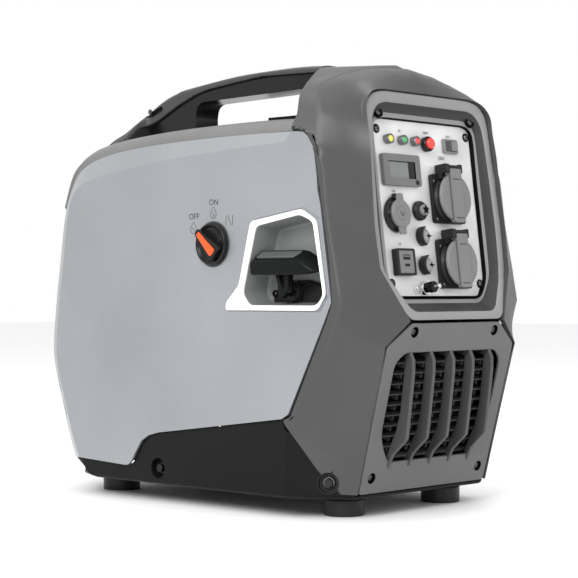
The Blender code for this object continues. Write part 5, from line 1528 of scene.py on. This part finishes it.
def engine_fittings():
    """Plug lead, its boot and filter clips on the set inside."""
    lead = flow([(0.106, 0.010, 0.2515), (0.106, 0.012, 0.262), (0.098, 0.020, 0.270), (0.078, 0.034, 0.268),
                 (0.060, 0.044, 0.250), (0.0480, 0.046, 0.2300)], 6)
    place(pipe("plug_lead", lead, 0.0032, sides=4), "rubber", "rubber")
    boot = turned("plug_boot", [(0, 0.2560), (0.0052, 0.2555), (0.0062, 0.2500), (0.0085, 0.2420), (0.0085,
                                                                                                    0.2380),
                                (0.0072, 0.2380), (0.0072, 0.2501), (0, 0.2502)], shift(0.106, 0.010), 32,
                                0.0006)
    place(crisp(boot, 60), "rubber", "rubber")
    for i, (y, z) in enumerate(((0.075, 0.219), (0.135, 0.219))):
        clip = block(f"filter_clip_{i + 1}", (0.1252, y - 0.006, z - 0.012), (0.1272, y + 0.006, z + 0.012))
        place(soften(clip, 0.0006, 2), "steel", "steel")


# ---- stage ---------------------------------------------------------------------------------------
def area_light(name, location, target, size, power):
    """A soft square light that faces a point."""
    data = bpy.data.lights.new(name, "AREA")
    data.shape = "RECTANGLE"
    data.size, data.size_y = size
    data.energy = power
    obj = linked(name, data)
    obj.location = location
    obj.rotation_euler = (Vector(target) - Vector(location)).to_track_quat("-Z", "Y").to_euler()
    return obj


def camera():
    """Camera level with the middle of the casing, off its front left corner."""
    data = bpy.data.cameras.new("camera")
    data.lens = 108.0
    data.sensor_width = 36.0
    data.clip_start, data.clip_end = 0.05, 60.0
    obj = linked("camera", data)
    obj.location = (-1.3677, -1.3023, 0.2232)
    obj.rotation_euler = Vector((0.7293, 0.6842, 0.0003)).to_track_quat("-Z", "Y").to_euler()
    bpy.context.scene.camera = obj


def stage(look):
    """Pale floor, pale surroundings and soft studio lights."""
    bm = bmesh.new()
    bmesh.ops.create_grid(bm, x_segments=4, y_segments=4, size=8.0)
    floor = add("floor", bm)
    n = Nodes("pale_floor")
    n.link(n.ramp(n.noise(3.0), [(0.3, shade(look.floor, 0.99)), (0.7, look.floor)]),
           n.shader.inputs["Base Color"])
    n.set(roughness=0.6)
    floor.data.materials.append(n.material)
    world = bpy.data.worlds.new("studio")
    world.use_nodes = True
    world.node_tree.nodes["Background"].inputs["Color"].default_value = (1.0, 1.0, 1.0, 1.0)
    world.node_tree.nodes["Background"].inputs["Strength"].default_value = look.surround
    bpy.context.scene.world = world
    area_light("key", (-2.2, -1.0, 2.4), (0, 0, 0.22), (2.0, 1.6), look.key)
    area_light("front", (1.2, -2.8, 1.2), (0, 0, 0.25), (1.2, 1.6), look.front)
    area_light("top", (0.2, 0.2, 2.6), (0, 0, 0.3), (1.4, 1.4), look.top)
    area_light("side", (-1.9, -0.9, 1.1), (-0.14, -0.12, 0.36), (0.7, 0.7), look.side)
    bpy.context.scene.view_settings.view_transform = "Standard"


def make_finishes(look):
    """Every finish that the pieces use."""
    flake_paint("silver", look.silver)
    flake_paint("inlay", (0.16, 0.165, 0.17))
    moulded("dark", look.dark, 0.42, 1100, 0.00008, shine=0.32)
    # Painted shade: darker finish for the bezel's recess walls.
    moulded("painted_shade_wall", (0.030, 0.030, 0.031), 0.5, 1100, 0.00008, shine=0.25)
    moulded("pocket", (0.190, 0.197, 0.195), 0.42, 900, 0.00006, shine=0.35)
    moulded("bezel", look.bezel, 0.45, 1100, 0.00008, shine=0.4)
    moulded("grille", (0.105, 0.104, 0.107), 0.45, 1100, 0.00008, shine=0.3)
    moulded("fin", (0.048, 0.048, 0.050), 0.40, 1000, 0.00006, shine=0.45)
    moulded("top_grey", (0.115, 0.113, 0.112), 0.42, 1000, 0.00008, shine=0.35)
    moulded("handle_grey", (0.042, 0.042, 0.043), 0.40, 1000, 0.00008, shine=0.35)
    moulded("lid_grey", (0.145, 0.144, 0.147), 0.42, 900, 0.00005, shine=0.4)
    # Painted shade: near-black lines for grooves, dents and embossing.
    moulded("lid_line", (0.012, 0.012, 0.0125), 0.5, shine=0.2)
    moulded("meter_grey", (0.115, 0.115, 0.118), 0.42, 900, 0.00005, shine=0.4)
    moulded("eco_grey", (0.16, 0.16, 0.16), 0.4)
    moulded("usb_grey", (0.13, 0.13, 0.134), 0.35, 700, 0.00003)
    moulded("jack_white", (0.22, 0.22, 0.225), 0.35, 700, 0.00003)
    moulded("screen", (0.13, 0.135, 0.135), 0.18, 300, 0.00001, coat=0.6)
    moulded("black", (0.010, 0.010, 0.0105), 0.38, 900, 0.00006, shine=0.20)
    moulded("grip_black", (0.004, 0.0045, 0.0045), 0.36, 700, 0.00005, shine=0.10)
    moulded("tray", (0.0060, 0.0060, 0.0062), 0.40, 800, 0.00006, shine=0.10)
    moulded("gloss_black", (0.007, 0.007, 0.0075), 0.22, 500, 0.00002, coat=0.10, shine=0.20)
    moulded("near_black", (0.003, 0.003, 0.0034), 0.6, shine=0.05)
    moulded("mesh_black", (0.050, 0.050, 0.051), 0.42, shine=0.3)
    moulded("tank_black", (0.014, 0.014, 0.015), 0.45, 300, 0.0002, shine=0.3)
    moulded("rubber", (0.013, 0.013, 0.0135), 0.42, 500, 0.00008, shine=0.25)
    moulded("white", (0.86, 0.87, 0.88), 0.28, 600, 0.00002, mottle=0.01, coat=0.4)
    moulded("orange", look.orange, 0.32, 600, 0.00003, mottle=0.02, coat=0.15, shine=0.3)
    moulded("mark", (0.050, 0.052, 0.058), 0.5, 900, 0.00001, shine=0.1)
    moulded("ink", (0.020, 0.020, 0.022), 0.5, 900, 0.00001, shine=0.1)
    moulded("cast_alloy", (0.42, 0.42, 0.42), 0.48, 260, 0.0004, metallic=0.9)
    moulded("iron", (0.10, 0.10, 0.10), 0.5, 200, 0.0003, metallic=0.8)
    woven_print("woven", (0.82, 0.82, 0.82), (0.26, 0.26, 0.27))
    bright_metal("chrome", (0.66, 0.66, 0.67), 0.16)
    bright_metal("steel", (0.50, 0.50, 0.51), 0.30, (1, 1, 12))
    bright_metal("screw_metal", (0.11, 0.11, 0.115), 0.24)
    bright_metal("lamp_metal", (0.20, 0.20, 0.205), 0.22)
    bright_metal("black_metal", (0.030, 0.030, 0.032), 0.24)
    bright_metal("burnt_steel", (0.24, 0.21, 0.19), 0.38, (1, 8, 1), 0.00005, 120)
    # Painted glow: this finish also makes the reset button glow faintly with a pale core, though the button is
    # no lamp.
    lens("red", (0.42, 0.004, 0.003), (0.72, 0.02, 0.012))
    lens("amber_glass", (0.30, 0.24, 0.01), (0.70, 0.62, 0.06))
    lens("green_glass", (0.0, 0.10, 0.02), (0.01, 0.30, 0.08))
    lens("red_glass", (0.30, 0.0, 0.0), (0.65, 0.01, 0.01))
    braid("rope", (0.020, 0.020, 0.022))
    windings("winding", (0.60, 0.25, 0.10))


# ---- add-on --------------------------------------------------------------------------------------
class GeneratorSizes(bpy.types.PropertyGroup):
    """Sizes a user would change."""

    edge: bpy.props.FloatProperty(name="Edge", description="Edge rounding of the silver shells",
                                  default=0.0016, min=0.0002, max=0.004, unit="LENGTH", precision=4)


class GeneratorLook(bpy.types.PropertyGroup):
    """Colours and light a user would change."""

    silver: bpy.props.FloatVectorProperty(name="Silver", description="Side shell paint", subtype="COLOR",
                                          default=(0.275, 0.287, 0.302), min=0, max=1)
    dark: bpy.props.FloatVectorProperty(name="Cowl", description="Dark cowl plastic", subtype="COLOR",
                                        default=(0.046, 0.046, 0.0475), min=0, max=1)
    bezel: bpy.props.FloatVectorProperty(name="Bezel", description="Bezel ring plastic", subtype="COLOR",
                                         default=(0.20, 0.20, 0.204), min=0, max=1)
    orange: bpy.props.FloatVectorProperty(name="Pointer", description="Switch pointer", subtype="COLOR",
                                          default=(0.92, 0.075, 0.010), min=0, max=1)
    floor: bpy.props.FloatVectorProperty(name="Floor", description="Studio floor", subtype="COLOR",
                                         default=(0.90, 0.90, 0.90), min=0, max=1)
    surround: bpy.props.FloatProperty(name="Surround", description="Strength of the pale surroundings",
                                      default=1.0, min=0, max=5)
    side: bpy.props.FloatProperty(name="Side", description="Light on the starter's side", default=26.0, min=0,
                                  unit="POWER")
    key: bpy.props.FloatProperty(name="Key", description="Key light", default=38.0, min=0, unit="POWER")
    front: bpy.props.FloatProperty(name="Front", description="Front light", default=7.0, min=0, unit="POWER")
    top: bpy.props.FloatProperty(name="Top", description="Top light", default=25.0, min=0, unit="POWER")


class GENERATOR_OT_finishes(bpy.types.Operator):
    """Make the finishes and give them to the pieces inside"""

    bl_idname = "generator.finishes"
    bl_label = "Finishes"

    def execute(self, context):
        make_finishes(context.scene.generator_look)
        inside_finishes()
        return {"FINISHED"}


class GENERATOR_OT_side_shells(bpy.types.Operator):
    """Build the silver side shells and the service cover"""

    bl_idname = "generator.side_shells"
    bl_label = "Side shells"

    def execute(self, context):
        side_shells(context.scene.generator_sizes)
        service_cover(context.scene.generator_sizes)
        return {"FINISHED"}


class GENERATOR_OT_covers(bpy.types.Operator):
    """Build the cowl, the top and rear covers, the base tray and its feet"""

    bl_idname = "generator.covers"
    bl_label = "Covers and base"

    def execute(self, context):
        front_cowl()
        top_cover()
        rear_cover()
        base_tray()
        feet()
        return {"FINISHED"}


class GENERATOR_OT_front(bpy.types.Operator):
    """Build the bezel ring, the grille and the mesh behind it"""

    bl_idname = "generator.front"
    bl_label = "Bezel and grille"

    def execute(self, context):
        panel_bezel()
        intake_grille()
        intake_mesh()
        return {"FINISHED"}


class GENERATOR_OT_handle(bpy.types.Operator):
    """Build the carrying handle"""

    bl_idname = "generator.handle"
    bl_label = "Handle"

    def execute(self, context):
        handle()
        return {"FINISHED"}


class GENERATOR_OT_starter(bpy.types.Operator):
    """Build the recoil starter's pocket, trim, grip and rope"""

    bl_idname = "generator.starter"
    bl_label = "Recoil starter"

    def execute(self, context):
        recoil_pocket()
        recoil_grip()
        return {"FINISHED"}


class GENERATOR_OT_switch(bpy.types.Operator):
    """Build the engine switch and its printed marks"""

    bl_idname = "generator.switch"
    bl_label = "Engine switch"

    def execute(self, context):
        engine_switch()
        switch_marks()
        return {"FINISHED"}


class GENERATOR_OT_panel(bpy.types.Operator):
    """Build the control panel and everything on it"""

    bl_idname = "generator.control_panel"
    bl_label = "Control panel"

    def execute(self, context):
        panel_plate()
        for word, v in SOCKETS.items():
            mains_socket(word, v)
        dc_socket()
        buttons()
        eco_switch()
        display_meter()
        lamps()
        jacks_and_usb()
        earth_terminal()
        return {"FINISHED"}


class GENERATOR_OT_fittings(bpy.types.Operator):
    """Build the screws, the fuel cap, the exhaust and the engine's fittings"""

    bl_idname = "generator.fittings"
    bl_label = "Fittings"

    def execute(self, context):
        screws()
        fuel_cap()
        exhaust()
        engine_fittings()
        return {"FINISHED"}


class GENERATOR_OT_stage(bpy.types.Operator):
    """Set up the floor, the lights and the camera"""

    bl_idname = "generator.stage"
    bl_label = "Stage"

    def execute(self, context):
        camera()
        stage(context.scene.generator_look)
        return {"FINISHED"}


STEPS = (GENERATOR_OT_finishes, GENERATOR_OT_side_shells, GENERATOR_OT_covers, GENERATOR_OT_front,
         GENERATOR_OT_handle, GENERATOR_OT_starter, GENERATOR_OT_switch, GENERATOR_OT_panel,
         GENERATOR_OT_fittings, GENERATOR_OT_stage)


class GENERATOR_PT_sidebar(bpy.types.Panel):
    """Lists the steps and what they can be given."""

    bl_idname = "GENERATOR_PT_sidebar"
    bl_label = "Portable generator"
    bl_space_type = "VIEW_3D"
    bl_region_type = "UI"
    bl_category = "Generator"

    def draw(self, context):
        """Settings above, one button for each step below."""
        for group in (context.scene.generator_sizes, context.scene.generator_look):
            for key in group.bl_rna.properties.keys():
                if key not in ("rna_type", "name"):
                    self.layout.prop(group, key)
        for step in STEPS:
            self.layout.operator(step.bl_idname)


CLASSES = (GeneratorSizes, GeneratorLook, *STEPS, GENERATOR_PT_sidebar)


def register():
    """Register the classes and their settings."""
    for cls in CLASSES:
        bpy.utils.register_class(cls)
    bpy.types.Scene.generator_sizes = bpy.props.PointerProperty(type=GeneratorSizes)
    bpy.types.Scene.generator_look = bpy.props.PointerProperty(type=GeneratorLook)


def unregister():
    """Take the settings and the classes away."""
    del bpy.types.Scene.generator_sizes
    del bpy.types.Scene.generator_look
    for cls in reversed(CLASSES):
        bpy.utils.unregister_class(cls)


def main():
    """Build everything in order."""
    register()
    for step in STEPS:
        group, name = step.bl_idname.split(".")
        getattr(getattr(bpy.ops, group), name)()


if __name__ == "__main__":
    main()
